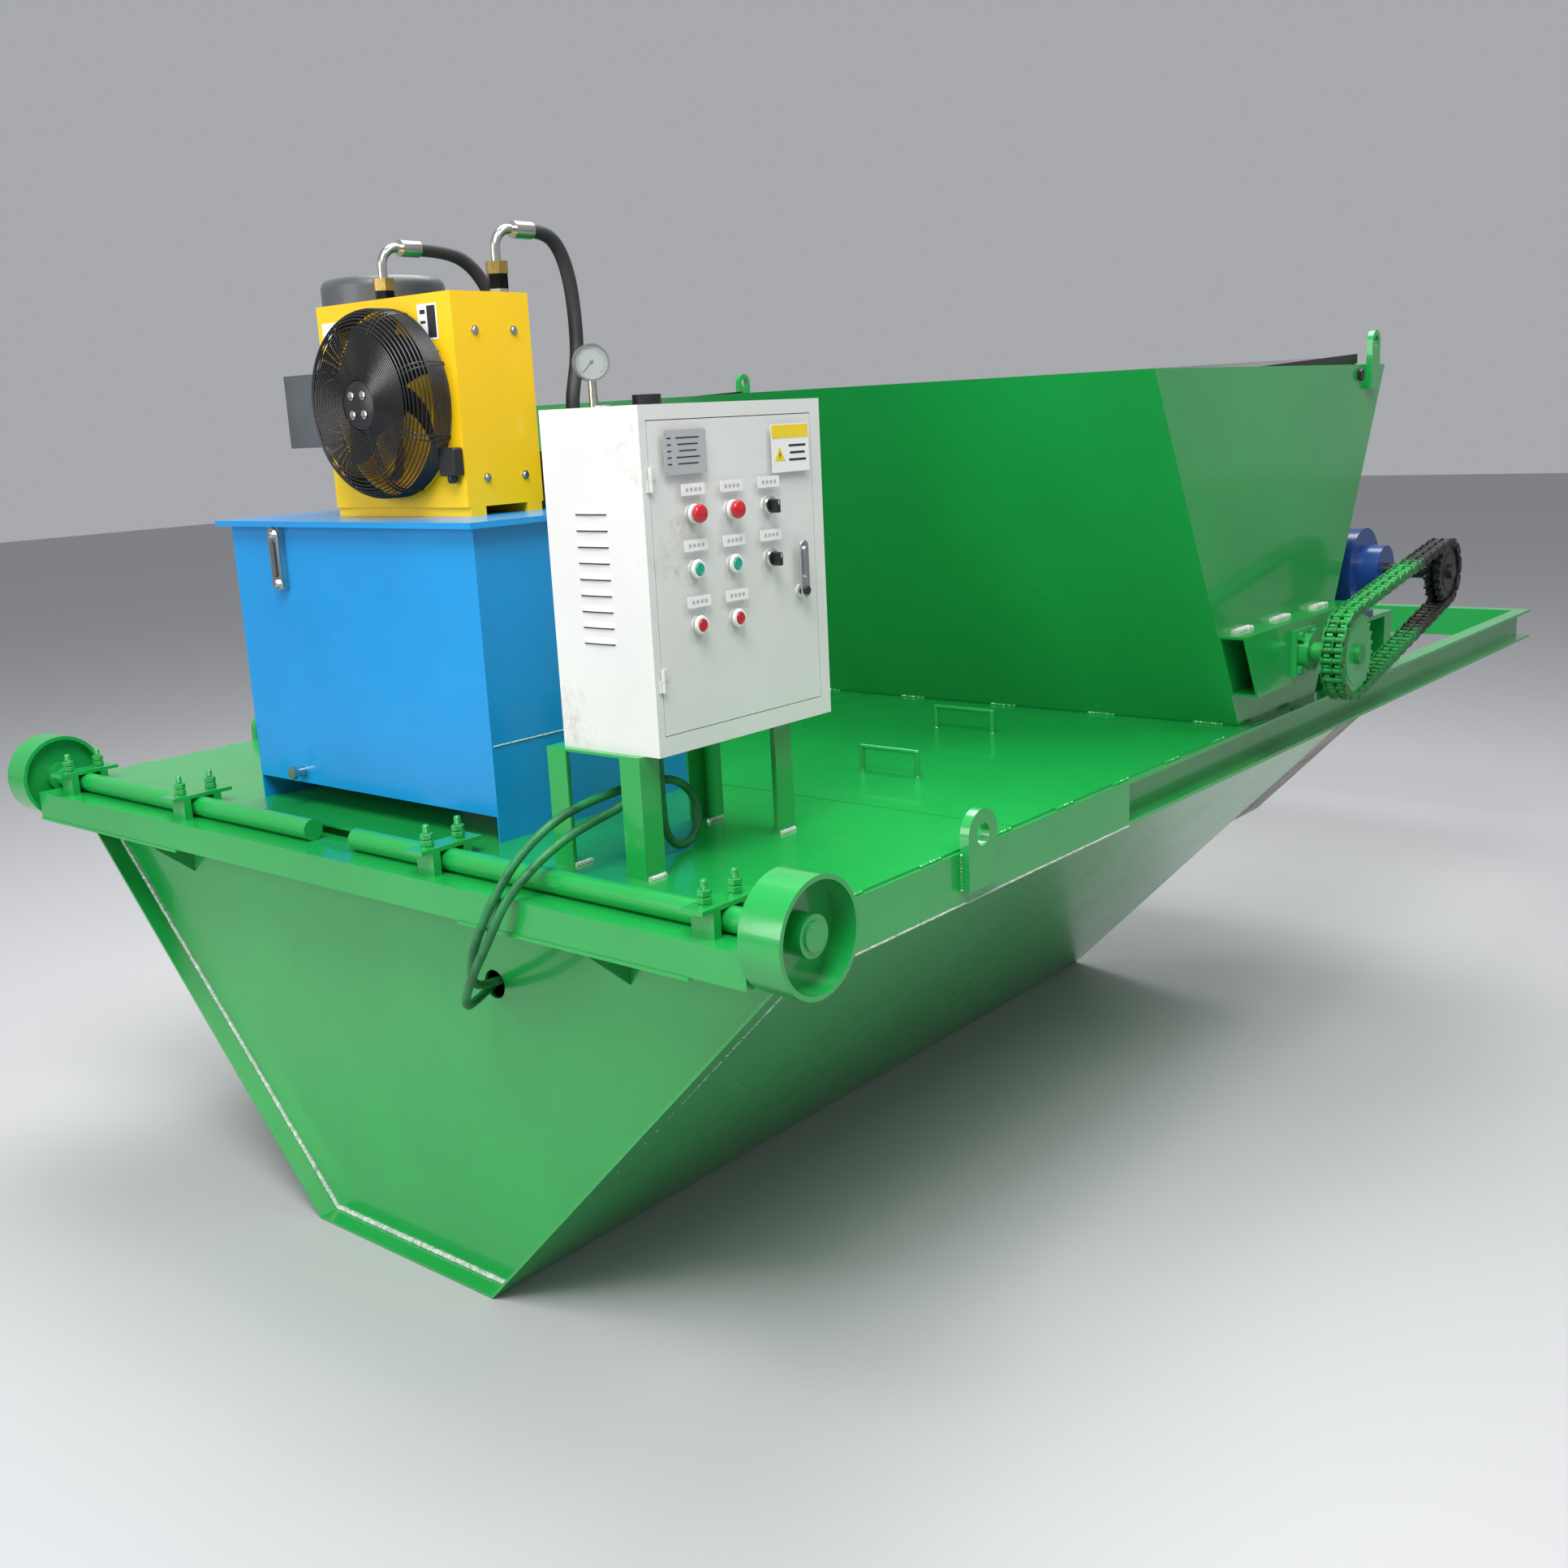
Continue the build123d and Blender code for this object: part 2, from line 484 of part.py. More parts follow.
def chain_joint(index):
    """Centre of a chain roller: the loop is two tangent runs and two arcs round the sprockets."""
    dx, dz = DRIVE_CENTRE[0] - AUGER_CENTRE[0], DRIVE_CENTRE[1] - AUGER_CENTRE[1]
    tilt = atan2(dz, dx)
    lean = asin((FOLLOW_RADIUS - DRIVE_RADIUS) / hypot(dx, dz))
    run = sqrt(hypot(dx, dz) ** 2 - (FOLLOW_RADIUS - DRIVE_RADIUS) ** 2)
    follow_arc = (pi + 2 * lean) * FOLLOW_RADIUS
    drive_arc = (pi - 2 * lean) * DRIVE_RADIUS
    whole = 2 * run + follow_arc + drive_arc
    s = (index % CHAIN_LINKS) * whole / CHAIN_LINKS
    upper = tilt + pi / 2 - lean
    lower = tilt - pi / 2 + lean
    if s < run:
        start = (AUGER_CENTRE[0] + FOLLOW_RADIUS * cos(upper), AUGER_CENTRE[1] + FOLLOW_RADIUS * sin(upper))
        return (start[0] + s * cos(upper - pi / 2), start[1] + s * sin(upper - pi / 2))
    s -= run
    if s < drive_arc:
        angle = upper - s / DRIVE_RADIUS
        return (DRIVE_CENTRE[0] + DRIVE_RADIUS * cos(angle), DRIVE_CENTRE[1] + DRIVE_RADIUS * sin(angle))
    s -= drive_arc
    if s < run:
        start = (DRIVE_CENTRE[0] + DRIVE_RADIUS * cos(lower), DRIVE_CENTRE[1] + DRIVE_RADIUS * sin(lower))
        return (start[0] + s * cos(lower - pi / 2), start[1] + s * sin(lower - pi / 2))
    s -= run
    angle = lower - s / FOLLOW_RADIUS
    return (AUGER_CENTRE[0] + FOLLOW_RADIUS * cos(angle), AUGER_CENTRE[1] + FOLLOW_RADIUS * sin(angle))


def seat_phase(centre, radius, teeth):
    """Angle of the tooth gap that best fits the rollers lying on a sprocket."""
    near = []
    for i in range(CHAIN_LINKS):
        x, z = chain_joint(i)
        if abs(hypot(x - centre[0], z - centre[1]) - radius) < 0.2:
            near.append(atan2(z - centre[1], x - centre[0]) % (2 * pi / teeth))
    steps = [cos(a * teeth) for a in near], [sin(a * teeth) for a in near]
    return atan2(sum(steps[1]), sum(steps[0])) / teeth


AUGER_PHASE = seat_phase(AUGER_CENTRE, FOLLOW_RADIUS, AUGER_TEETH)
DRIVE_PHASE = seat_phase(DRIVE_CENTRE, DRIVE_RADIUS, DRIVE_TEETH)
CHAIN_MIDDLE = sum(SPROCKET_Y) / 2
DISC_STARTS = (CHAIN_MIDDLE - 21, CHAIN_MIDDLE + 21 - DISC)

with BuildPart() as drive_sprocket:
    for y in DISC_STARTS:
        sprocket_disc(DRIVE_CENTRE, y, DISC, DRIVE_TEETH, DRIVE_PHASE)
    drum((DRIVE_CENTRE[0], SPROCKET_Y[0], DRIVE_CENTRE[1]), (0, 1, 0), 52, 45)
    drum((DRIVE_CENTRE[0], SPROCKET_Y[0] - 12, DRIVE_CENTRE[1]), (0, 1, 0), 20, 270)
save(drive_sprocket, "drive_sprocket")

PADDLE_REACH = 150.0
PADDLE_HALF_WIDTH = 25.0
PADDLE_HALF_THICK = 6.0
PADDLE_PLACES = range(-980, 1000, 280)
with BuildPart() as auger:
    shaft_y = (SPROCKET_Y[0] - 12, TUBE_FACE + BEARING_THICK + 12)
    drum((AUGER_CENTRE[0], shaft_y[0], AUGER_CENTRE[1]), (0, 1, 0), AUGER_RADIUS, shaft_y[1] - shaft_y[0])
    for slot, mode in ((SEAT, Mode.SUBTRACT), (0, Mode.ADD)):
        for i, y in enumerate(PADDLE_PLACES):
            long_half, thin_half = PADDLE_REACH, PADDLE_HALF_THICK + slot
            half_x, half_z = (long_half, thin_half) if i % 2 else (thin_half, long_half)
            block((AUGER_CENTRE[0] - half_x, AUGER_CENTRE[0] + half_x),
                  (y - PADDLE_HALF_WIDTH - slot, y + PADDLE_HALF_WIDTH + slot),
                  (AUGER_CENTRE[1] - half_z, AUGER_CENTRE[1] + half_z), mode)
save(auger, "auger")

with BuildPart() as auger_sprocket:
    for y in DISC_STARTS:
        sprocket_disc(AUGER_CENTRE, y, DISC, AUGER_TEETH, AUGER_PHASE)
    drum((AUGER_CENTRE[0], SPROCKET_Y[0], AUGER_CENTRE[1]), (0, 1, 0), 75, 45)
    drum((AUGER_CENTRE[0], SPROCKET_Y[1], AUGER_CENTRE[1]), (0, 1, 0), 38, 30)
    drum((AUGER_CENTRE[0], SPROCKET_Y[0], AUGER_CENTRE[1]), (0, 1, 0), AUGER_RADIUS, 75, Mode.SUBTRACT)
save(auger_sprocket, "auger_sprocket")

PLATE_THICK = 3.0
LINK_HALF = 11.0
PIN = 3.9
ROLLER_HALF = 24.4


def chain_plate(y_middle):
    """A link plate with rounded ends whose centres are a pitch apart along X."""
    with BuildSketch(across(y_middle - PLATE_THICK / 2)) as outline:
        SlotCenterToCenter(CHAIN_PITCH, 2 * LINK_HALF)
    extrude(outline.sketch, amount=PLATE_THICK)


PIN_PLACES = (-CHAIN_PITCH / 2, CHAIN_PITCH / 2)
with BuildPart(mode=Mode.PRIVATE) as roller_link:
    for x in PIN_PLACES:
        drum((x, -ROLLER_HALF, 0), (0, 1, 0), ROLLER_RADIUS, 2 * ROLLER_HALF)
    for y in (PLATE_THICK / 2 - ROLLER_HALF, 0, ROLLER_HALF - PLATE_THICK / 2):
        chain_plate(y)
    for x in PIN_PLACES:
        drum((x, -ROLLER_HALF, 0), (0, 1, 0), PIN + 0.1, 2 * ROLLER_HALF, Mode.SUBTRACT)

with BuildPart(mode=Mode.PRIVATE) as pin_link:
    for x in PIN_PLACES:
        drum((x, -ROLLER_HALF - 4, 0), (0, 1, 0), PIN, 2 * ROLLER_HALF + 8)
    for side in BOTH_SIDES:
        chain_plate(side * (ROLLER_HALF + 0.3 + PLATE_THICK / 2))

chain_solids = []
for link in range(CHAIN_LINKS):
    (x0, z0), (x1, z1) = chain_joint(link), chain_joint(link + 1)
    pattern = roller_link if link % 2 else pin_link
    tilt = degrees(atan2(z1 - z0, x1 - x0))
    place = Location(((x0 + x1) / 2, CHAIN_MIDDLE, (z0 + z1) / 2), (0, -tilt, 0))
    chain_solids.append(pattern.part.moved(place))
with BuildPart() as chain:
    add(chain_solids)
save(chain, "chain")

# ---------------------------------------------------------------- gear motor and its support
SUPPORT_TOP = DECK_Z + 150
SUPPORT_X = (FRONT + 2640, FRONT + 3060)
SUPPORT_Y = (-1105.0, -560.0)
POST = 60.0
with BuildPart() as motor_support:
    block(SUPPORT_X, SUPPORT_Y, (SUPPORT_TOP - 12, SUPPORT_TOP))
    for x in (SUPPORT_X[0], SUPPORT_X[1] - POST):
        block((x, x + POST), (-WEB_INNER, WEB_INNER), (RAIL_BOTTOM, RAIL_TOP))
        for y in (SUPPORT_Y[0], SUPPORT_Y[1] - POST):
            block((x, x + POST), (y, y + POST), (RAIL_TOP, SUPPORT_TOP - 12))
save(motor_support, "motor_support")

GEAR_Y = (-1170.0, -930.0)
GEAR_RADIUS = 118.0
MOTOR_END = -560.0
with BuildPart() as gear_motor:
    centre = DRIVE_CENTRE
    drum((centre[0], GEAR_Y[0], centre[1]), (0, 1, 0), 70, 70)
    drum((centre[0], GEAR_Y[0] + 60, centre[1]), (0, 1, 0), GEAR_RADIUS, 180)
    drum((centre[0], GEAR_Y[1] - 30, centre[1]), (0, 1, 0), 135, 22)
    drum((centre[0], GEAR_Y[1], centre[1]), (0, 1, 0), 92, MOTOR_END - GEAR_Y[1])
    for i in range(24):
        angle = 15 * i
        fin_plane = Plane(origin=(centre[0], GEAR_Y[1] + 150, centre[1]), z_dir=(0, 1, 0))
        with Locations(fin_plane.rotated((0, 0, angle))):
            Box(208, 4, 210)
    foot_y = (GEAR_Y[0] + 70, GEAR_Y[1] - 10)
    block((centre[0] - 110, centre[0] + 110), foot_y, (SUPPORT_TOP, SUPPORT_TOP + 18))
    block((centre[0] - 70, centre[0] + 70), foot_y, (SUPPORT_TOP, centre[1]))
    block((centre[0] - 55, centre[0] + 55), (-830, -690), (centre[1] + 60, centre[1] + 140))
    drum((centre[0], GEAR_Y[0], centre[1]), (0, 1, 0), 20 + RUNNING, 120, Mode.SUBTRACT)
save(gear_motor, "gear_motor")

# ================================================================ hydraulic tank
tank_x = (FRONT + TANK_X[0], FRONT + TANK_X[1])
with BuildPart() as tank_body:
    wall = 4.0
    block(tank_x, TANK_Y, (DECK_Z + TANK_LOW, LID_TOP - LID_THICK))
    inner_x = (tank_x[0] + wall, tank_x[1] - wall)
    inner_y = (TANK_Y[0] + wall, TANK_Y[1] - wall)
    block(inner_x, inner_y, (DECK_Z + TANK_LOW + wall, LID_TOP - LID_THICK), Mode.SUBTRACT)
    for y_low in (TANK_Y[0], TANK_Y[1] - wall):
        block(tank_x, (y_low, y_low + wall), (DECK_Z, DECK_Z + TANK_LOW))
save(tank_body, "tank_body")

PUMP_HOLE = 60.0
FILLER_AT = (FRONT + 745, -300.0)
with BuildPart() as tank_lid:
    lid_x = (tank_x[0] - LID_OVERHANG, tank_x[1] + LID_OVERHANG)
    lid_y = (TANK_Y[0] - LID_OVERHANG, TANK_Y[1] + LID_OVERHANG)
    block(lid_x, lid_y, (LID_TOP - LID_THICK, LID_TOP))
    lid_hole = (FRONT + MOTOR_AT[0], MOTOR_AT[1], LID_TOP - LID_THICK)
    drum(lid_hole, (0, 0, 1), PUMP_HOLE, LID_THICK, Mode.SUBTRACT)
save(tank_lid, "tank_lid")

SIGHT_Y = 312.0
CAP_LOW = DECK_Z + 832
with BuildPart() as tank_fittings:
    block((tank_x[0] - 14, tank_x[0]), (SIGHT_Y - 18, SIGHT_Y + 18), (DECK_Z + 487, DECK_Z + 623 - 2))
    drum((tank_x[0] - 26, 320, DECK_Z + 80), (1, 0, 0), 11, 26)
    hexagon((tank_x[0] - 34, 320, DECK_Z + 80), (1, 0, 0), 15, 12)
    drum((*FILLER_AT, LID_TOP), (0, 0, 1), 36, 10)
    drum((*FILLER_AT, LID_TOP), (0, 0, 1), 24, CAP_LOW - LID_TOP - SEAT)
save(tank_fittings, "tank_fittings")

with BuildPart() as filler_cap:
    drum((*FILLER_AT, CAP_LOW), (0, 0, 1), 31, 30)
save(filler_cap, "filler_cap")

# ---------------------------------------------------------------- pump motor
motor = (FRONT + MOTOR_AT[0], MOTOR_AT[1])
TERMINAL_REACH = 240.0                # terminal box: far face and half width, from the motor's axis
TERMINAL_HALF = 78.0
with BuildPart() as pump_motor:
    drum((*motor, LID_TOP), (0, 0, 1), 105, 75)
    drum((*motor, LID_TOP + 60), (0, 0, 1), 125, 15)
    drum((*motor, LID_TOP + 75), (0, 0, 1), 122, 330)
    for i in range(18):
        with Locations(Location((*motor, LID_TOP + 235), (0, 0, 20 * i + 10))):
            Box(2 * MOTOR_RADIUS - 8, 4, 290)
    drum((*motor, DECK_Z + 1040), (0, 0, 1), MOTOR_RADIUS, 113)
    fillet(faces().sort_by(Axis.Z)[-1].edges(), 22)
    block((motor[0] - TERMINAL_REACH, motor[0] - 100), (motor[1] - TERMINAL_HALF, motor[1] + TERMINAL_HALF),
          (LID_TOP + 148, LID_TOP + 307))
save(pump_motor, "pump_motor")

with BuildPart() as gear_pump:
    drum((*motor, LID_TOP - 330), (0, 0, 1), 48, 329)
    drum((*motor, LID_TOP - 480), (0, 0, 1), 30, 150)
save(gear_pump, "gear_pump")

# ---------------------------------------------------------------- oil cooler with fan
cooler_x = (FRONT + COOLER_X[0], FRONT + COOLER_X[1])
FAN_Y = 30.0
FAN_Z = DECK_Z + 865
with BuildPart() as cooler_box:
    block(cooler_x, COOLER_Y, (DECK_Z + COOLER_Z[0], DECK_Z + COOLER_Z[1]))
    drum((cooler_x[0], FAN_Y, FAN_Z), (1, 0, 0), FAN_RADIUS + 15, 60, Mode.SUBTRACT)
    for x_low in (cooler_x[0] + 5, cooler_x[1] - 45):
        block((x_low, x_low + 40), (COOLER_Y[0], COOLER_Y[1]), (LID_TOP, DECK_Z + COOLER_Z[0]))
save(cooler_box, "cooler_box")

GUARD_FRONT = cooler_x[0] - 88
WIRE = 2.5
GUARD_STEPS = ((0, GUARD_RADIUS), (34, GUARD_RADIUS), (62, 180), (88, 150), (88, 40))
GUARD_RINGS = ((6, GUARD_RADIUS), (34, GUARD_RADIUS), (60, 180), (85.5, 150), (85.5, 115), (85.5, 80))
with BuildPart() as fan_guard:
    for reach, radius in GUARD_RINGS:
        with BuildSketch(Plane.YZ.offset(cooler_x[0] - reach - WIRE)):
            with Locations((FAN_Y, FAN_Z)):
                Circle(radius + WIRE)
                Circle(radius - WIRE, mode=Mode.SUBTRACT)
        extrude(amount=2 * WIRE)
    outer = [(reach, radius + WIRE) for reach, radius in GUARD_STEPS]
    inner = [(reach - 2 * WIRE, radius - WIRE) for reach, radius in reversed(GUARD_STEPS[1:])]
    inner.append((0, GUARD_RADIUS - WIRE))
    for i in range(8):
        angle = 45 * i + 22.5
        spoke_x = (-cos(radians(angle)), -sin(radians(angle)))
        across_spoke = Plane(origin=(cooler_x[0], FAN_Y, FAN_Z), x_dir=(-1, 0, 0),
                             z_dir=(0, *spoke_x)).offset(-WIRE)
        prism(across_spoke, outer + inner, 2 * WIRE)
    drum((GUARD_FRONT - 3, FAN_Y, FAN_Z), (1, 0, 0), 48, 6)
    drum((GUARD_FRONT + 3, FAN_Y, FAN_Z), (1, 0, 0), 40, 35)
save(fan_guard, "fan_guard")

FAN_X = (GUARD_FRONT + 38 + 2, GUARD_FRONT + 95)
with BuildPart() as fan_rotor:
    drum((FAN_X[0], FAN_Y, FAN_Z), (1, 0, 0), 45, FAN_X[1] - FAN_X[0])
    with Locations(Plane(origin=(sum(FAN_X) / 2, FAN_Y, FAN_Z), z_dir=(1, 0, 0))):
        with PolarLocations(0, 5):
            with Locations(Location((FAN_RADIUS - 63, 0, 0), (35, 0, 0))):
                Box(126, 75, 3)
save(fan_rotor, "fan_rotor")

# ---------------------------------------------------------------- cooler fittings and hoses
PORT_LEFT = (FRONT + 450, 175.0)
PORT_RIGHT = (FRONT + 505, -130.0)
BLOCK_X = (FRONT + 560, FRONT + 690)
BLOCK_Y = (-325.0, -130.0)
BLOCK_TOP = DECK_Z + 755
RETURN_AT = (FRONT + 735, 120.0)
COOLER_TOP = DECK_Z + COOLER_Z[1]
with BuildPart() as hose_fittings:
    for (x, y), rise in ((PORT_LEFT, 0), (PORT_RIGHT, 10)):
        hexagon((x, y, COOLER_TOP), (0, 0, 1), 22, 30 + rise)
        hexagon((x, y, COOLER_TOP + 30 + rise), (0, 0, 1), 24, 25)
        with BuildPart(mode=Mode.PRIVATE) as elbow:
            with BuildLine() as bend:
                knee = (x, y, COOLER_TOP + 120 + rise)
                FilletPolyline((x, y, COOLER_TOP + 55 + rise), knee, (x + 50, y, knee[2]), radius=40)
            with BuildSketch(Plane(origin=(x, y, COOLER_TOP + 55 + rise), z_dir=(0, 0, 1))):
                Circle(10)
            sweep(path=bend.line)
        add(elbow.part)
        drum((x + 50, y, COOLER_TOP + 120 + rise), (1, 0, 0), 17.5, 50)
    hexagon((FRONT + 650, -170, BLOCK_TOP), (0, 0, 1), 22, 20)
    drum((FRONT + 650, -170, BLOCK_TOP + 20), (0, 0, 1), 17.5, 30)
    hexagon((*RETURN_AT, LID_TOP), (0, 0, 1), 22, 20)
    drum((*RETURN_AT, LID_TOP + 20), (0, 0, 1), 17.5, 45)
save(hose_fittings, "hose_fittings")

HOSE_LEFT_ROUTE = [(-787.5, 175, 2163), (-730, 175, 2163), (-662, 168, 2146), (-615, 158, 2090),
                   (-597, 146, 2010), (-598, 134, 1920), (-603, 124, 1830), (-602.5, 120, 1745),
                   (-602.5, 120, 1668)]
cord(HOSE_LEFT_ROUTE, HOSE_RADIUS, "cooler_hose_left")
HOSE_RIGHT_ROUTE = [(-732.5, -130, 2173), (-693, -130, 2173), (-655, -131, 2143), (-634, -134, 2080),
                    (-631, -139, 2000), (-640, -147, 1920), (-668, -161, 1865), (-687.5, -170, 1820),
                    (-687.5, -170, 1773)]
cord(HOSE_RIGHT_ROUTE, HOSE_RADIUS, "cooler_hose_right")

# ---------------------------------------------------------------- valve block and gauge
GAUGE_AT = (FRONT + 594, -294.0, DECK_Z + 929)
DIAL_AXIS = (-0.6, -0.8, 0.0)
with BuildPart() as valve_manifold:
    block(BLOCK_X, BLOCK_Y, (LID_TOP, BLOCK_TOP))
    block((BLOCK_X[0] + 5, BLOCK_X[1] - 5), (BLOCK_Y[0] - 30, BLOCK_Y[0]), (LID_TOP + 15, LID_TOP + 95))
    drum((BLOCK_X[1], -200, LID_TOP + 70), (1, 0, 0), 22, 20)
save(valve_manifold, "valve_manifold")

GAUGE_RADIUS = 37.5
with BuildPart() as pressure_gauge:
    drum((GAUGE_AT[0], GAUGE_AT[1], BLOCK_TOP), (0, 0, 1), 9, GAUGE_AT[2] - BLOCK_TOP - GAUGE_RADIUS + 6)
    hexagon((GAUGE_AT[0], GAUGE_AT[1], BLOCK_TOP + 40), (0, 0, 1), 18, 30)
    drum((GAUGE_AT[0], GAUGE_AT[1], BLOCK_TOP + 80), (0, -1, 0), 8, 50)
    rear = Vector(*GAUGE_AT) - Vector(*DIAL_AXIS) * 14
    drum(tuple(rear), DIAL_AXIS, GAUGE_RADIUS, 28)
    dial = Vector(*GAUGE_AT) + Vector(*DIAL_AXIS) * 8
    drum(tuple(dial), DIAL_AXIS, GAUGE_RADIUS - 4, 10, Mode.SUBTRACT)
    drum(tuple(dial), DIAL_AXIS, 1.5, 3.5)
save(pressure_gauge, "pressure_gauge")

with BuildPart() as gauge_needle:
    needle_plane = Plane(origin=tuple(dial + Vector(*DIAL_AXIS) * 1.2), x_dir=(0, 0, 1), z_dir=DIAL_AXIS)
    with BuildSketch(needle_plane):
        Circle(3.5)
        with Locations(Location((0, 0, 0), (0, 0, 135))):
            with Locations((9, 0)):
                Rectangle(32, 1.6)
        Circle(1.6, mode=Mode.SUBTRACT)
    extrude(amount=1.2)
save(gauge_needle, "gauge_needle")

# ================================================================ electrical cabinet
cab_x = (FRONT + CABINET_X[0], FRONT + CABINET_X[1])
cab_z = (DECK_Z + CABINET_Z[0], DECK_Z + CABINET_Z[1])
door_x = (FRONT + DOOR_X[0], FRONT + DOOR_X[1])
door_z = (DECK_Z + DOOR_Z[0], DECK_Z + DOOR_Z[1])
HINGE_X = door_x[0]
KNUCKLE = 4.0
HINGE_Y = CABINET_Y[0] - KNUCKLE - SEAT
HINGE_LEVELS = (door_z[0] + 80, door_z[1] - 120)
LIP = 14.0
GLAND_DROP = 20.0
GLANDS = ((-1043.0, -708.0), (-1082.0, -692.0))
with BuildPart() as cabinet_shell:
    block(cab_x, CABINET_Y, cab_z)
    inside = [(low + CABINET_SHEET, high - CABINET_SHEET) for low, high in (cab_x, CABINET_Y, cab_z)]
    block(*inside, Mode.SUBTRACT)
    block(door_x, (CABINET_Y[0], CABINET_Y[0] + CABINET_SHEET), door_z, Mode.SUBTRACT)
    for z in HINGE_LEVELS:
        block((HINGE_X - 8, HINGE_X), (HINGE_Y, CABINET_Y[0]), (z, z + 20))
        drum((HINGE_X, HINGE_Y, z), (0, 0, 1), KNUCKLE, 20)
        drum((HINGE_X, HINGE_Y, z), (0, 0, 1), 2, 42)
    for x, y in GLANDS:
        hexagon((x, y, cab_z[0] - GLAND_DROP), (0, 0, 1), 16, GLAND_DROP)
save(cabinet_shell, "cabinet_shell")

STOP_COLUMNS = (FRONT + 298, FRONT + 400)
SELECT_COLUMN = FRONT + 504
ROWS = (DECK_Z + 645, DECK_Z + 548, DECK_Z + 449)
LOCK_AT = (FRONT + 592, DECK_Z + 511)
BUTTON_HOLE = 11.0
BEZEL = 15.0
door_face = CABINET_Y[0]
places = [(x, z) for z in ROWS for x in STOP_COLUMNS] + [(SELECT_COLUMN, ROWS[0]), (SELECT_COLUMN, ROWS[1])]
with BuildPart() as cabinet_door:
    pan_x = (door_x[0] + DOOR_GAP, door_x[1] - DOOR_GAP)
    pan_z = (door_z[0] + DOOR_GAP, door_z[1] - DOOR_GAP)
    block(pan_x, (door_face, door_face + LIP), pan_z)
    inside_x, inside_z = (pan_x[0] + 2, pan_x[1] - 2), (pan_z[0] + 2, pan_z[1] - 2)
    block(inside_x, (door_face + 2, door_face + LIP), inside_z, Mode.SUBTRACT)
    for x, z in places:
        drum((x, door_face - 4, z), (0, 1, 0), BEZEL, 4)
        drum((x, door_face - 5, z), (0, 1, 0), BUTTON_HOLE, 10, Mode.SUBTRACT)
        drum((x, door_face + 2, z), (0, 1, 0), BEZEL, 32)
        drum((x, door_face - 5, z), (0, 1, 0), BUTTON_HOLE, 31, Mode.SUBTRACT)
    for z in HINGE_LEVELS:
        block((HINGE_X + 1, HINGE_X + 12), (HINGE_Y + 1, door_face), (z + 20 + SEAT, z + 40))
        drum((HINGE_X, HINGE_Y, z + 20 + SEAT), (0, 0, 1), KNUCKLE, 20 - SEAT)
        drum((HINGE_X, HINGE_Y, z + 20), (0, 0, 1), 2 + RUNNING, 22, Mode.SUBTRACT)
    drum((LOCK_AT[0], door_face - 4, LOCK_AT[1] - 35), (0, 1, 0), 13, 4)
    drum((LOCK_AT[0], door_face - 5, LOCK_AT[1] - 35), (0, 1, 0), 6 + RUNNING, 12, Mode.SUBTRACT)
save(cabinet_door, "cabinet_door")

with BuildPart() as door_lock:
    lock_face = door_face - 4 - SEAT
    block((LOCK_AT[0] - 12, LOCK_AT[0] + 12), (lock_face - 10, lock_face), (LOCK_AT[1] - 35, LOCK_AT[1] + 50))
    drum((LOCK_AT[0], lock_face - 10, LOCK_AT[1] - 35), (0, 1, 0), 12, 10)
    drum((LOCK_AT[0], lock_face - 10, LOCK_AT[1] + 50), (0, 1, 0), 12, 10)
    drum((LOCK_AT[0], lock_face, LOCK_AT[1] - 35), (0, 1, 0), 6, 24)
    cam_z = (LOCK_AT[1] - 43, LOCK_AT[1] + 5)
    block((LOCK_AT[0] - 6, LOCK_AT[0] + 6), (door_face + 14, door_face + 18), cam_z)
save(door_lock, "door_lock")

PRESS = 5.0
for index, (x, z) in enumerate(places[:6]):
    kind = ("stop_mushroom", "start_button", "stop_button")[index // 2]
    with BuildPart() as button:
        drum((x, door_face - 4 - PRESS, z), (0, 1, 0), BUTTON_HOLE - 0.3, 28)
        if kind == "stop_mushroom":
            drum((x, door_face - 22, z), (0, 1, 0), 16, 22 - 4 - PRESS - SEAT)
            drum((x, door_face - 12, z), (0, 1, 0), BUTTON_HOLE - 0.3, 10)
    save(button, f"{kind}_{index % 2 + 1}")

for index, (x, z) in enumerate(places[6:]):
    with BuildPart() as selector:
        drum((x, door_face - 8, z), (0, 1, 0), BUTTON_HOLE - 0.3, 32)
        block((x - 4, x + 4), (door_face - 24, door_face - 6), (z - 14, z + 10))
    save(selector, f"selector_{index + 1}")

with BuildPart() as contactor_plate:
    back = CABINET_Y[1] - CABINET_SHEET
    plate_x = (cab_x[0] + 40, cab_x[1] - 40)
    plate_z = (cab_z[0] + 40, cab_z[1] - 40)
    block(plate_x, (back - 14, back - 12), plate_z)
    for x in (plate_x[0] + 15, plate_x[1] - 15):
        for z in (plate_z[0] + 15, plate_z[1] - 15):
            drum((x, back - 12, z), (0, 1, 0), 6, 12)
    for row, z in enumerate((plate_z[1] - 130, plate_z[1] - 280)):
        for i in range(5):
            x = plate_x[0] + 40 + 68 * i
            block((x, x + 52), (back - 95, back - 14), (z, z + 85))
    block((plate_x[0] + 30, plate_x[1] - 30), (back - 50, back - 14), (plate_z[0] + 60, plate_z[0] + 100))
save(contactor_plate, "contactor_plate")

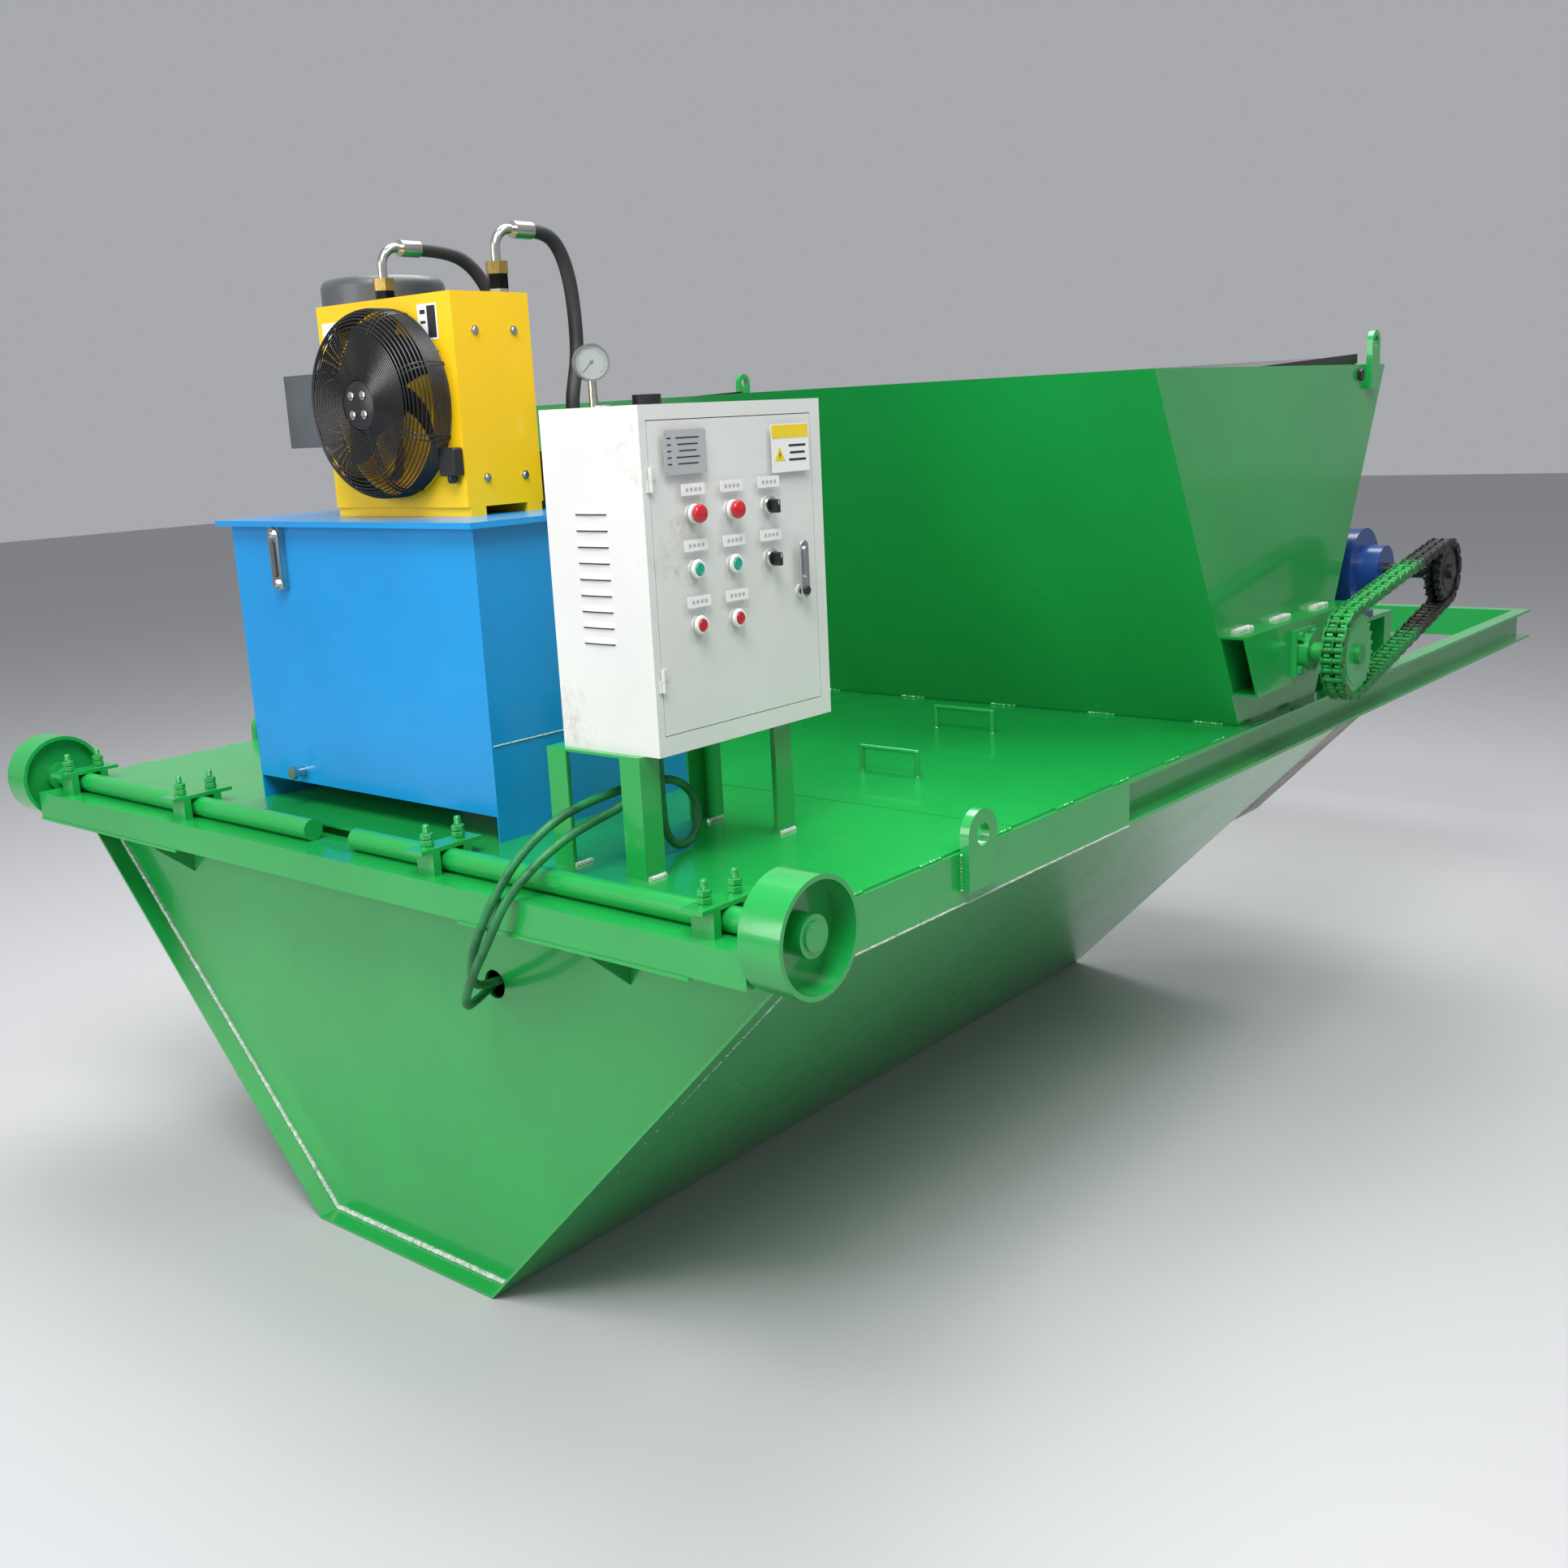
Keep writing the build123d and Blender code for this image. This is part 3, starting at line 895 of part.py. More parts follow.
STAND_X = (FRONT + 166, FRONT + 590)
STAND_Y = (-785.0, -545.0)
ANGLE_WALL = 5.0
with BuildPart() as cabinet_stand:
    for x_side, x in ((1, STAND_X[0]), (-1, STAND_X[1])):
        for y_side, y in ((1, STAND_Y[0]), (-1, STAND_Y[1])):
            leg_x = sorted((x, x + x_side * LEG_SIZE))
            leg_y = sorted((y, y + y_side * LEG_SIZE))
            block(leg_x, sorted((y, y + y_side * ANGLE_WALL)), (DECK_Z, cab_z[0]))
            block(sorted((x, x + x_side * ANGLE_WALL)), leg_y, (DECK_Z, cab_z[0]))
    for y_side, y in ((1, STAND_Y[0]), (-1, STAND_Y[1])):
        flange = sorted((y, y + y_side * LEG_SIZE))
        block(STAND_X, flange, (cab_z[0] - ANGLE_WALL, cab_z[0]))
    for x_side, x in ((1, STAND_X[0]), (-1, STAND_X[1])):
        flange = sorted((x, x + x_side * LEG_SIZE))
        block(flange, STAND_Y, (cab_z[0] - ANGLE_WALL, cab_z[0]))
save(cabinet_stand, "cabinet_stand")

# ---------------------------------------------------------------- cables from the hull to the cabinet
POWER_ROUTE = [(-1174, -358, 700), (-1230, -372, 708), (-1283, -405, 733), (-1325, -455, 790),
               (-1357, -520, 866), (-1352, -572, 950), (-1312, -606, 1026), (-1245, -630, 1078),
               (-1165, -640, 1098), (-1090, -646, 1104), (-1018, -652, 1109), (-952, -660, 1100),
               (-914, -670, 1064), (-915, -682, 1013), (-951, -692, 980), (-1001, -700, 981),
               (-1037, -706, 1017), (-1044, -709, 1074), (-1043, -708, 1128), (-1043, -708, 1175)]
cord(POWER_ROUTE, CABLE_RADIUS, "power_cable")
CONTROL_ROUTE = [(-1174, -333, 686), (-1236, -356, 678), (-1295, -396, 688), (-1340, -450, 730),
                 (-1368, -512, 796), (-1375, -572, 872), (-1362, -612, 950), (-1312, -636, 1006),
                 (-1245, -652, 1046), (-1172, -664, 1068), (-1110, -679, 1084), (-1083, -691, 1128),
                 (-1082, -692, 1175)]
cord(CONTROL_ROUTE, CABLE_RADIUS, "control_cable")

# ================================================================ ram inside the hull
BARREL_Y = 200.0
BARREL_Z = 330.0
BARREL_LENGTH = 720.0
BARREL_RADIUS = 45.0
BARREL_BORE = 35.0
ROD_RADIUS = 22.0
barrel_start = BULKHEAD_X + 12
with BuildPart() as cylinder_barrels:
    for side in BOTH_SIDES:
        axis_start = (barrel_start, side * BARREL_Y, BARREL_Z)
        drum(axis_start, (1, 0, 0), BARREL_RADIUS, BARREL_LENGTH)
        bore_start = (barrel_start + 25, side * BARREL_Y, BARREL_Z)
        drum(bore_start, (1, 0, 0), BARREL_BORE, BARREL_LENGTH - 60, Mode.SUBTRACT)
        drum(bore_start, (1, 0, 0), ROD_RADIUS + RUNNING, BARREL_LENGTH, Mode.SUBTRACT)
save(cylinder_barrels, "cylinder_barrels")

with BuildPart() as ram:
    ram_x = (FRONT + RAM_START, FRONT + RAM_START + 20)
    ram_low, ram_high = HULL_PLATE + RAM_CLEAR, RAIL_BOTTOM - 6
    half = [(inner_half(z) - RAM_CLEAR * SLANT, z) for z in (ram_low, ram_high)]
    profile_x(half + [(-y, z) for y, z in reversed(half)], *ram_x)
    rod_start = barrel_start + 60
    for side in BOTH_SIDES:
        start = (rod_start, side * BARREL_Y, BARREL_Z)
        drum(start, (1, 0, 0), ROD_RADIUS, ram_x[0] - rod_start)
        drum(start, (1, 0, 0), BARREL_BORE - RUNNING, 40)
save(ram, "ram")
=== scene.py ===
import json
import bpy
import numpy as np
from mathutils import Matrix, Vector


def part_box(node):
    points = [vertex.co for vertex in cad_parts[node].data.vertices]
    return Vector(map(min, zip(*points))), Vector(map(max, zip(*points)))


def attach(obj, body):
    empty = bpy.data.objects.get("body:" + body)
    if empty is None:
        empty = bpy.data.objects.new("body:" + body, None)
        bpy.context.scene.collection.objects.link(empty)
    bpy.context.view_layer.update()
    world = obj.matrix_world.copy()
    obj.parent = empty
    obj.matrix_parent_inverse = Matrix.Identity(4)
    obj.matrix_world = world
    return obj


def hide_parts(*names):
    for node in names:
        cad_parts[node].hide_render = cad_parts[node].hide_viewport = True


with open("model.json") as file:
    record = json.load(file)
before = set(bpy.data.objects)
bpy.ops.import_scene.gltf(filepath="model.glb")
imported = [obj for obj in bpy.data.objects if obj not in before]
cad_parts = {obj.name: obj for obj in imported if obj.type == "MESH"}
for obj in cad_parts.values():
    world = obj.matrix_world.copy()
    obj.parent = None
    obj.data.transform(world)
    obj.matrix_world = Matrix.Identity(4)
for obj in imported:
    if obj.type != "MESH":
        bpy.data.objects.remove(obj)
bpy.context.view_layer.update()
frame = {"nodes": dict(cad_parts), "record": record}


def corners(node):
    low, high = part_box(node)
    return np.array(low, float), np.array(high, float)


# ------------------------------------------------------------------ camera, floor and light
beam_low, beam_high = corners("cross_beam")
deck_low, deck_high = corners("rear_deck")
FRONT = beam_low[0] + 0.003          # front face of the cross beam; doublers stand 3 mm proud of it
DECK = deck_high[2]
X, Z = (1, 0, 0), (0, 0, 1)
OUT = (0, -1, 0)                     # out of the cabinet's door
ACROSS = (0, -1, 0)                  # left to right along a face that looks to the front


def make_camera():
    """Camera at eye height, off the near right corner, looking along the machine."""
    right = np.array([0.6331, -0.7727, -0.0469])
    up = np.array([0.2034, 0.1076, 0.9732])
    back = np.cross(right, up)
    data = bpy.data.cameras.new("camera")
    data.lens, data.sensor_width, data.clip_end = 36.68, 36.0, 100.0
    camera = bpy.data.objects.new("camera", data)
    rows = np.eye(4)
    rows[:3, 0], rows[:3, 1], rows[:3, 2] = right, up, back
    rows[:3, 3] = (FRONT - 1.789, -2.754, DECK + 0.807)
    camera.matrix_world = Matrix(rows.tolist())
    bpy.context.collection.objects.link(camera)
    bpy.context.scene.camera = camera


FLOOR_HALF = 30.0
FLOOR_HEIGHT = -0.001
LAMPS = (                            # name, place, target, size in metres, watts
    ("key", (-3.6, -2.2, 6.2), (0.0, 0, 0.9), 3.0, 380),
    ("fill", (-6.5, 1.5, 2.8), (0, 0, 0.7), 3.0, 160),
    ("top", (1.4, 0.8, 6.0), (0.2, 0, 0.6), 4.0, 360),
    ("side", (0.6, -4.2, 6.0), (0.6, -0.8, 1.4), 2.0, 80))


def make_floor():
    """A flat pale floor just under the machine."""
    mesh = bpy.data.meshes.new("floor")
    ends = ((-1, -1), (1, -1), (1, 1), (-1, 1))
    mesh.from_pydata([(FLOOR_HALF * x, FLOOR_HALF * y, FLOOR_HEIGHT) for x, y in ends], [], [(0, 1, 2, 3)])
    floor = bpy.data.objects.new("floor", mesh)
    bpy.context.collection.objects.link(floor)
    material = bpy.data.materials.new("floor")
    material.use_nodes = True
    shader = material.node_tree.nodes["Principled BSDF"]
    shader.inputs["Base Color"].default_value = (0.46, 0.46, 0.47, 1)
    shader.inputs["Roughness"].default_value = 0.6
    mesh.materials.append(material)


def make_sky():
    """An even, faintly blue sky."""
    world = bpy.data.worlds.new("soft_sky")
    bpy.context.scene.world = world
    world.use_nodes = True
    background = world.node_tree.nodes["Background"]
    background.inputs["Color"].default_value = (0.93, 0.95, 1.0, 1)
    background.inputs["Strength"].default_value = 0.42


def make_lamp(name, place, target, size, watts):
    """A square soft lamp at a place, turned towards its target."""
    data = bpy.data.lights.new(name, "AREA")
    data.size, data.energy = size, watts
    lamp = bpy.data.objects.new(name, data)
    aim = np.array(target) - np.array(place)
    aim = aim / np.linalg.norm(aim)
    side = np.cross(aim, Z)
    side = side / np.linalg.norm(side)
    rows = np.eye(4)
    rows[:3, 0], rows[:3, 1], rows[:3, 2], rows[:3, 3] = side, np.cross(side, aim), -aim, place
    lamp.matrix_world = Matrix(rows.tolist())
    bpy.context.collection.objects.link(lamp)


def make_stage():
    """Floor, sky and four soft lamps, with plain colours on the screen."""
    make_floor()
    make_sky()
    for lamp in LAMPS:
        make_lamp(*lamp)
    bpy.context.scene.view_settings.view_transform = "Standard"


make_camera()
make_stage()


# ------------------------------------------------------------------ shared shader groups
def new_group(name, inputs, outputs):
    group = bpy.data.node_groups.new(name, "ShaderNodeTree")
    for label, kind, value in inputs:
        socket = group.interface.new_socket(label, in_out="INPUT", socket_type=kind)
        if value is not None:
            socket.default_value = value
    for label, kind in outputs:
        group.interface.new_socket(label, in_out="OUTPUT", socket_type=kind)
    return group, group.nodes.new("NodeGroupInput"), group.nodes.new("NodeGroupOutput")


def noise(tree, vector, scale, detail=3.0, roughness=0.55):
    node = tree.nodes.new("ShaderNodeTexNoise")
    node.inputs["Detail"].default_value = detail
    node.inputs["Roughness"].default_value = roughness
    tree.links.new(vector, node.inputs["Vector"])
    if isinstance(scale, (int, float)):
        node.inputs["Scale"].default_value = scale
    else:
        tree.links.new(scale, node.inputs["Scale"])
    return node.outputs["Fac"]


def ramp(tree, value, low, high):
    node = tree.nodes.new("ShaderNodeMapRange")
    node.clamp = True
    tree.links.new(value, node.inputs["Value"])
    for label, limit in (("From Min", low), ("From Max", high)):
        if isinstance(limit, (int, float)):
            node.inputs[label].default_value = limit
        else:
            tree.links.new(limit, node.inputs[label])
    return node.outputs["Result"]


def maths(tree, operation, a, b=0.0):
    node = tree.nodes.new("ShaderNodeMath")
    node.operation = operation
    for index, value in enumerate((a, b)):
        if isinstance(value, (int, float)):
            node.inputs[index].default_value = value
        else:
            tree.links.new(value, node.inputs[index])
    return node.outputs[0]


def blend_colours(tree, mask, first, second, mode="MIX"):
    node = tree.nodes.new("ShaderNodeMix")
    node.data_type, node.blend_type = "RGBA", mode
    sockets = [s for s in node.inputs if s.type == "RGBA"]
    factor = node.inputs[0]
    for socket, value in ((factor, mask), (sockets[0], first), (sockets[1], second)):
        if isinstance(value, (int, float)):
            socket.default_value = value
        elif isinstance(value, tuple):
            socket.default_value = value
        else:
            tree.links.new(value, socket)
    return [s for s in node.outputs if s.type == "RGBA"][0]


def build_drift():
    """Colour drift: cloudy lighter and darker patches over a base colour, with fine speckle."""
    group, inp, out = new_group("colour_drift",
                                [("Vector", "NodeSocketVector", None), ("Colour", "NodeSocketColor", None),
                                 ("Scale", "NodeSocketFloat", 2.0), ("Amount", "NodeSocketFloat", 0.2)],
                                [("Colour", "NodeSocketColor")])
    cloud = ramp(group, noise(group, inp.outputs["Vector"], inp.outputs["Scale"], 4), 0.32, 0.68)
    dark = blend_colours(group, inp.outputs["Amount"], inp.outputs["Colour"], (0.0, 0.0, 0.0, 1))
    light = blend_colours(group, inp.outputs["Amount"], inp.outputs["Colour"], (1.0, 1.0, 1.0, 1),
                          "SOFT_LIGHT")
    group.links.new(blend_colours(group, cloud, dark, light), out.inputs["Colour"])
    return group


def build_grime():
    """Grime: blotches and fine scuffs of a second colour where two noises meet."""
    group, inp, out = new_group("grime",
                                [("Vector", "NodeSocketVector", None), ("Scale", "NodeSocketFloat", 6.0),
                                 ("Cover", "NodeSocketFloat", 0.5)],
                                [("Mask", "NodeSocketFloat")])
    broad = noise(group, inp.outputs["Vector"], inp.outputs["Scale"], 5, 0.65)
    fine = noise(group, inp.outputs["Vector"], 70.0, 2, 0.6)
    edge = maths(group, "SUBTRACT", 1.0, inp.outputs["Cover"])
    mask = ramp(group, broad, edge, maths(group, "ADD", edge, 0.16))
    group.links.new(maths(group, "MULTIPLY", mask, ramp(group, fine, 0.3, 0.7)), out.inputs["Mask"])
    return group


def build_skin():
    """Surface height: slow sheet waviness plus a fine orange-peel grain."""
    group, inp, out = new_group("surface_height",
                                [("Vector", "NodeSocketVector", None), ("Wave", "NodeSocketFloat", 2.5),
                                 ("Grain", "NodeSocketFloat", 220.0),
                                 ("Grain share", "NodeSocketFloat", 0.25)],
                                [("Height", "NodeSocketFloat")])
    wave = noise(group, inp.outputs["Vector"], inp.outputs["Wave"], 2)
    grain = noise(group, inp.outputs["Vector"], inp.outputs["Grain"], 2)
    share = maths(group, "MULTIPLY", grain, inp.outputs["Grain share"])
    group.links.new(maths(group, "ADD", wave, share), out.inputs["Height"])
    return group


DRIFT, GRIME, SKIN = build_drift(), build_grime(), build_skin()


def finish_material(name, colour, rough=0.35, metal=0.0, coat=0.0, drift=(2.0, 0.15), grime=None,
                    skin=(2.5, 220.0, 0.25), bump=0.05, paint_zones=None, rough_spread=0.1):
    """A drifting base colour, optional grime and zones, uneven roughness, and a bump from the height group."""
    material = bpy.data.materials.new(name)
    material.use_nodes = True
    tree = material.node_tree
    shader = tree.nodes["Principled BSDF"]
    place = tree.nodes.new("ShaderNodeTexCoord").outputs["Object"]
    tint = tree.nodes.new("ShaderNodeGroup")
    tint.node_tree = DRIFT
    tree.links.new(place, tint.inputs["Vector"])
    tint.inputs["Scale"].default_value, tint.inputs["Amount"].default_value = drift
    if paint_zones:
        tree.links.new(paint_zones(tree, place, colour), tint.inputs["Colour"])
    else:
        tint.inputs["Colour"].default_value = (*colour, 1)
    shade = tint.outputs["Colour"]
    if grime:
        dirt = tree.nodes.new("ShaderNodeGroup")
        dirt.node_tree = GRIME
        tree.links.new(place, dirt.inputs["Vector"])
        dirt.inputs["Scale"].default_value, dirt.inputs["Cover"].default_value = grime[1], grime[2]
        shade = blend_colours(tree, dirt.outputs["Mask"], shade, (*grime[0], 1))
    tree.links.new(shade, shader.inputs["Base Color"])
    spread = noise(tree, place, 5.0, 3)
    low = maths(tree, "MULTIPLY", spread, 2 * rough_spread)
    tree.links.new(maths(tree, "ADD", low, max(rough - rough_spread, 0.03)), shader.inputs["Roughness"])
    shader.inputs["Metallic"].default_value = metal
    shader.inputs["Coat Weight"].default_value = coat
    shader.inputs["Coat Roughness"].default_value = 0.08
    height = tree.nodes.new("ShaderNodeGroup")
    height.node_tree = SKIN
    tree.links.new(place, height.inputs["Vector"])
    for label, value in zip(("Wave", "Grain", "Grain share"), skin):
        height.inputs[label].default_value = value
    relief = tree.nodes.new("ShaderNodeBump")
    relief.inputs["Strength"].default_value = bump
    relief.inputs["Distance"].default_value = 0.02
    tree.links.new(height.outputs["Height"], relief.inputs["Height"])
    tree.links.new(relief.outputs["Normal"], shader.inputs["Normal"])
    return material


def axis_of(tree, place, axis):
    node = tree.nodes.new("ShaderNodeSeparateXYZ")
    tree.links.new(place, node.inputs[0])
    return node.outputs[axis]


box_cooler = corners("cooler_box")
COOLER_TOP = box_cooler[1][2]


REAR_FITTING_X = FRONT + 0.479       # plane between the front fitting and the rear one
REAR_FITTING_RISE = 0.010


def fitting_zones(tree, place, colour):
    """Black adapters, brass nuts, then zinc elbows, by height above the cooler."""
    height = maths(tree, "SUBTRACT", axis_of(tree, place, "Z"), COOLER_TOP)
    back = ramp(tree, axis_of(tree, place, "X"), REAR_FITTING_X - 0.001, REAR_FITTING_X + 0.001)
    height = maths(tree, "SUBTRACT", height, maths(tree, "MULTIPLY", back, REAR_FITTING_RISE))
    nut = maths(tree, "MULTIPLY", ramp(tree, height, 0.0295, 0.0305), ramp(tree, height, 0.0555, 0.0545))
    low_edge = ramp(tree, height, -0.001, 0.001)
    black = maths(tree, "MULTIPLY", low_edge, ramp(tree, height, 0.0305, 0.0295))
    shade = blend_colours(tree, nut, (*colour, 1), (0.62, 0.42, 0.12, 1))
    return blend_colours(tree, black, shade, (0.02, 0.02, 0.02, 1))


chain_low, chain_high = corners("chain")


def chain_zones(tree, place, colour):
    """Green overspray on the low, rear half of the chain, fading into oily black towards the motor."""
    along = ramp(tree, axis_of(tree, place, "X"), chain_low[0] + 0.66, chain_low[0] + 0.40)
    spots = noise(tree, place, 45.0, 3)
    mask = ramp(tree, maths(tree, "ADD", along, maths(tree, "MULTIPLY", spots, 0.7)), 0.6, 0.95)
    return blend_colours(tree, mask, (*colour, 1), (0.02, 0.28, 0.06, 1))


MATERIALS = {
    "green_paint": finish_material("green_paint", (0.010, 0.335, 0.060), 0.26, coat=0.55, drift=(1.6, 0.10),
                                   grime=((0.02, 0.24, 0.05), 3.0, 0.36), bump=0.02, rough_spread=0.08),
    "blue_paint": finish_material("blue_paint", (0.003, 0.265, 0.640), 0.30, coat=0.35, drift=(2.0, 0.10),
                                  bump=0.08),
    "yellow_paint": finish_material("yellow_paint", (0.92, 0.56, 0.006), 0.34, coat=0.2, drift=(3.0, 0.06),
                                    skin=(4.0, 420.0, 0.5), bump=0.05),
    "white_paint": finish_material("white_paint", (0.70, 0.71, 0.68), 0.40, coat=0.1, drift=(3.0, 0.06),
                                   grime=((0.40, 0.37, 0.30), 4.0, 0.415), skin=(3.0, 500.0, 0.6), bump=0.05),
    "navy_paint": finish_material("navy_paint", (0.008, 0.050, 0.220), 0.34, coat=0.3,
                                  grime=((0.02, 0.03, 0.05), 8, 0.42)),
    "grey_paint": finish_material("grey_paint", (0.070, 0.080, 0.085), 0.42, coat=0.1, drift=(6.0, 0.2),
                                  skin=(6.0, 300.0, 0.7), bump=0.12),
    "bare_steel": finish_material("bare_steel", (0.30, 0.29, 0.26), 0.5, metal=0.75, drift=(9.0, 0.4),
                                  grime=((0.16, 0.13, 0.09), 12.0, 0.5), skin=(12.0, 300.0, 0.5), bump=0.15),
    "black_steel": finish_material("black_steel", (0.016, 0.016, 0.017), 0.38, metal=0.2, bump=0.06),
    "chain_steel": finish_material("chain_steel", (0.028, 0.027, 0.025), 0.42, metal=0.65,
                                   paint_zones=chain_zones, grime=((0.09, 0.08, 0.06), 30.0, 0.5),
                                   bump=0.15),
    "zinc": finish_material("zinc", (0.62, 0.61, 0.56), 0.24, metal=1.0, drift=(20.0, 0.2),
                            paint_zones=fitting_zones, bump=0.05),
    "chrome": finish_material("chrome", (0.72, 0.73, 0.74), 0.14, metal=1.0, drift=(20.0, 0.08), bump=0.02),
    "cast_iron": finish_material("cast_iron", (0.060, 0.062, 0.065), 0.5, metal=0.35,
                                 skin=(20.0, 260.0, 0.9), bump=0.3),
    "black_plastic": finish_material("black_plastic", (0.014, 0.014, 0.015), 0.4, skin=(5.0, 700.0, 0.8),
                                     bump=0.08),
    "grey_plastic": finish_material("grey_plastic", (0.34, 0.35, 0.36), 0.45, skin=(5.0, 600.0, 0.8),
                                    bump=0.06),
    "red_plastic": finish_material("red_plastic", (0.55, 0.008, 0.018), 0.25, coat=0.4, bump=0.02),
    "green_plastic": finish_material("green_plastic", (0.006, 0.36, 0.24), 0.25, coat=0.4, bump=0.02),
    "black_rubber": finish_material("black_rubber", (0.017, 0.017, 0.018), 0.55, drift=(14.0, 0.3),
                                    grime=((0.07, 0.07, 0.065), 16.0, 0.42), skin=(9.0, 380.0, 1.0),
                                    bump=0.16),
    "green_cable": finish_material("green_cable", (0.012, 0.185, 0.050), 0.45, drift=(18.0, 0.4),
                                   grime=((0.010, 0.035, 0.015), 22.0, 0.48), skin=(9.0, 380.0, 1.0),
                                   bump=0.14),
    "label_white": finish_material("label_white", (0.84, 0.84, 0.82), 0.4, drift=(8.0, 0.04), bump=0.01),
    "label_yellow": finish_material("label_yellow", (0.86, 0.62, 0.02), 0.4, bump=0.01),
    "label_grey": finish_material("label_grey", (0.56, 0.57, 0.58), 0.35, metal=0.35, bump=0.03),
    "weld_bright": finish_material("weld_bright", (0.66, 0.74, 0.66), 0.4, metal=0.2, drift=(60.0, 0.3),
                                   grime=((0.03, 0.32, 0.08), 45.0, 0.44), skin=(60.0, 500.0, 1.0), bump=0.3),
}


def make_glass():
    material = bpy.data.materials.new("clear_glass")
    material.use_nodes = True
    shader = material.node_tree.nodes["Principled BSDF"]
    shader.inputs["Base Color"].default_value = (0.92, 0.96, 0.95, 1)
    shader.inputs["Transmission Weight"].default_value = 0.92
    shader.inputs["Roughness"].default_value = 0.04
    return material


BEARING_OUTSIDE = -1.195             # plane on the near bearing's outer side


def shaft_zones(tree, place, colour):
    """Green overspray on the shaft's end outside the near bearing."""
    outside = ramp(tree, axis_of(tree, place, "Y"), BEARING_OUTSIDE + 0.005, BEARING_OUTSIDE - 0.005)
    return blend_colours(tree, outside, (*colour, 1), (0.012, 0.33, 0.06, 1))


MATERIALS["clear_glass"] = make_glass()
MATERIALS["shaft_steel"] = finish_material("shaft_steel", (0.30, 0.29, 0.26), 0.45, metal=0.3,
                                           drift=(9.0, 0.3), paint_zones=shaft_zones,
                                           skin=(12.0, 300.0, 0.5), bump=0.12)
for row in frame["record"]["subparts"]:
    cad_node = frame["nodes"][row["node"]]
    cad_node.data.materials.clear()
    cad_node.data.materials.append(MATERIALS[row["material_slot"]])
frame["nodes"]["auger"].data.materials[0] = MATERIALS["shaft_steel"]


# ------------------------------------------------------------------ mesh makers
def piece(name, verts, faces, material, body, replaced=(), slot=None, smooth=True, bevel=0.0):
    """Puts vertex and face arrays into a mesh that rides on a body."""
    mesh = bpy.data.meshes.new(name)
    mesh.from_pydata(np.asarray(verts, float).tolist(), [], [tuple(face) for face in faces])
    mesh.validate()
    mesh.materials.append(MATERIALS[material])
    made = bpy.data.objects.new(name, mesh)
    bpy.context.collection.objects.link(made)
    if smooth:
        mesh.shade_smooth()
        mesh.set_sharp_from_angle(angle=0.7)
    if bevel:
        rounding = made.modifiers.new("round_edges", "BEVEL")
        rounding.width, rounding.segments, rounding.limit_method = bevel, 2, "ANGLE"
    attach(made, body)
    if replaced:
        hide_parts(*replaced)
    return made


def grid_faces(rows, columns, wrap_rows=False, wrap_columns=False):
    """Quads of a rows by columns grid, joined round where it wraps."""
    r = np.arange(rows if wrap_rows else rows - 1)
    c = np.arange(columns if wrap_columns else columns - 1)
    a, b = np.meshgrid(r, c, indexing="ij")
    a2, b2 = (a + 1) % rows, (b + 1) % columns
    ring = [a * columns + b, a * columns + b2, a2 * columns + b2, a2 * columns + b]
    return np.stack(ring, -1).reshape(-1, 4)


def closed_sheet(front, back, rows, columns, flip=False):
    """Two grids of the same size joined round their edges into one closed sheet; flip turns it inside out."""
    count = rows * columns
    grid = grid_faces(rows, columns)
    rim = np.concatenate([np.arange(columns), np.arange(1, rows) * columns + columns - 1,
                          (rows - 1) * columns + np.arange(columns - 2, -1, -1),
                          np.arange(rows - 2, 0, -1) * columns])
    after = np.roll(rim, -1)
    if flip:
        parts = [grid, grid[:, ::-1] + count, np.stack([rim, rim + count, after + count, after], 1)]
    else:
        parts = [grid[:, ::-1], grid + count, np.stack([rim, after, after + count, rim + count], 1)]
    return np.concatenate([front, back]), [tuple(face) for part in parts for face in part]


def join(parts):
    """Several (vertices, faces) pairs as one."""
    verts, faces, count = [], [], 0
    for part_verts, part_faces in parts:
        verts.append(np.asarray(part_verts, float))
        faces += [tuple(int(i) + count for i in face) for face in part_faces]
        count += len(part_verts)
    return np.concatenate(verts), faces


def frame_of(axis):
    """Two unit vectors square to an axis, right-handed with it."""
    axis = np.array(axis, float) / np.linalg.norm(axis)
    helper = np.array((0, 0, 1.0)) if abs(axis[2]) < 0.9 else np.array((1.0, 0, 0))
    first = np.cross(helper, axis)
    first = first / np.linalg.norm(first)
    return first, np.cross(axis, first), axis


def turned_points(profile, origin, axis, segments):
    """Points of a (radius, distance along the axis) profile turned round the axis, one ring after another."""
    first, second, along = frame_of(axis)
    turn = np.linspace(0, 2 * np.pi, segments, endpoint=False)
    profile = np.array(profile, float)
    ring = np.cos(turn)[:, None] * first + np.sin(turn)[:, None] * second
    reach = profile[:, 1][:, None, None] * along
    return (np.array(origin) + reach + profile[:, 0][:, None, None] * ring[None]).reshape(-1, 3)


def lathe(profile, origin, axis, segments=40):
    """A solid turned from a profile of (radius, distance along the axis), with a flat face at each end."""
    count = len(profile)
    faces = [tuple(face) for face in grid_faces(count, segments, wrap_columns=True)]
    faces = [face[::-1] for face in faces] if profile[-1][1] < profile[0][1] else faces
    faces.append(tuple(range(segments))[::-1])
    faces.append(tuple(range((count - 1) * segments, count * segments)))
    return turned_points(profile, origin, axis, segments), faces


def turned_ring(profile, origin, axis, segments=40):
    """A closed profile of (radius, distance along the axis) turned round the axis, with an open bore."""
    faces = grid_faces(len(profile), segments, wrap_rows=True, wrap_columns=True)
    return turned_points(profile, origin, axis, segments), [tuple(face) for face in faces]


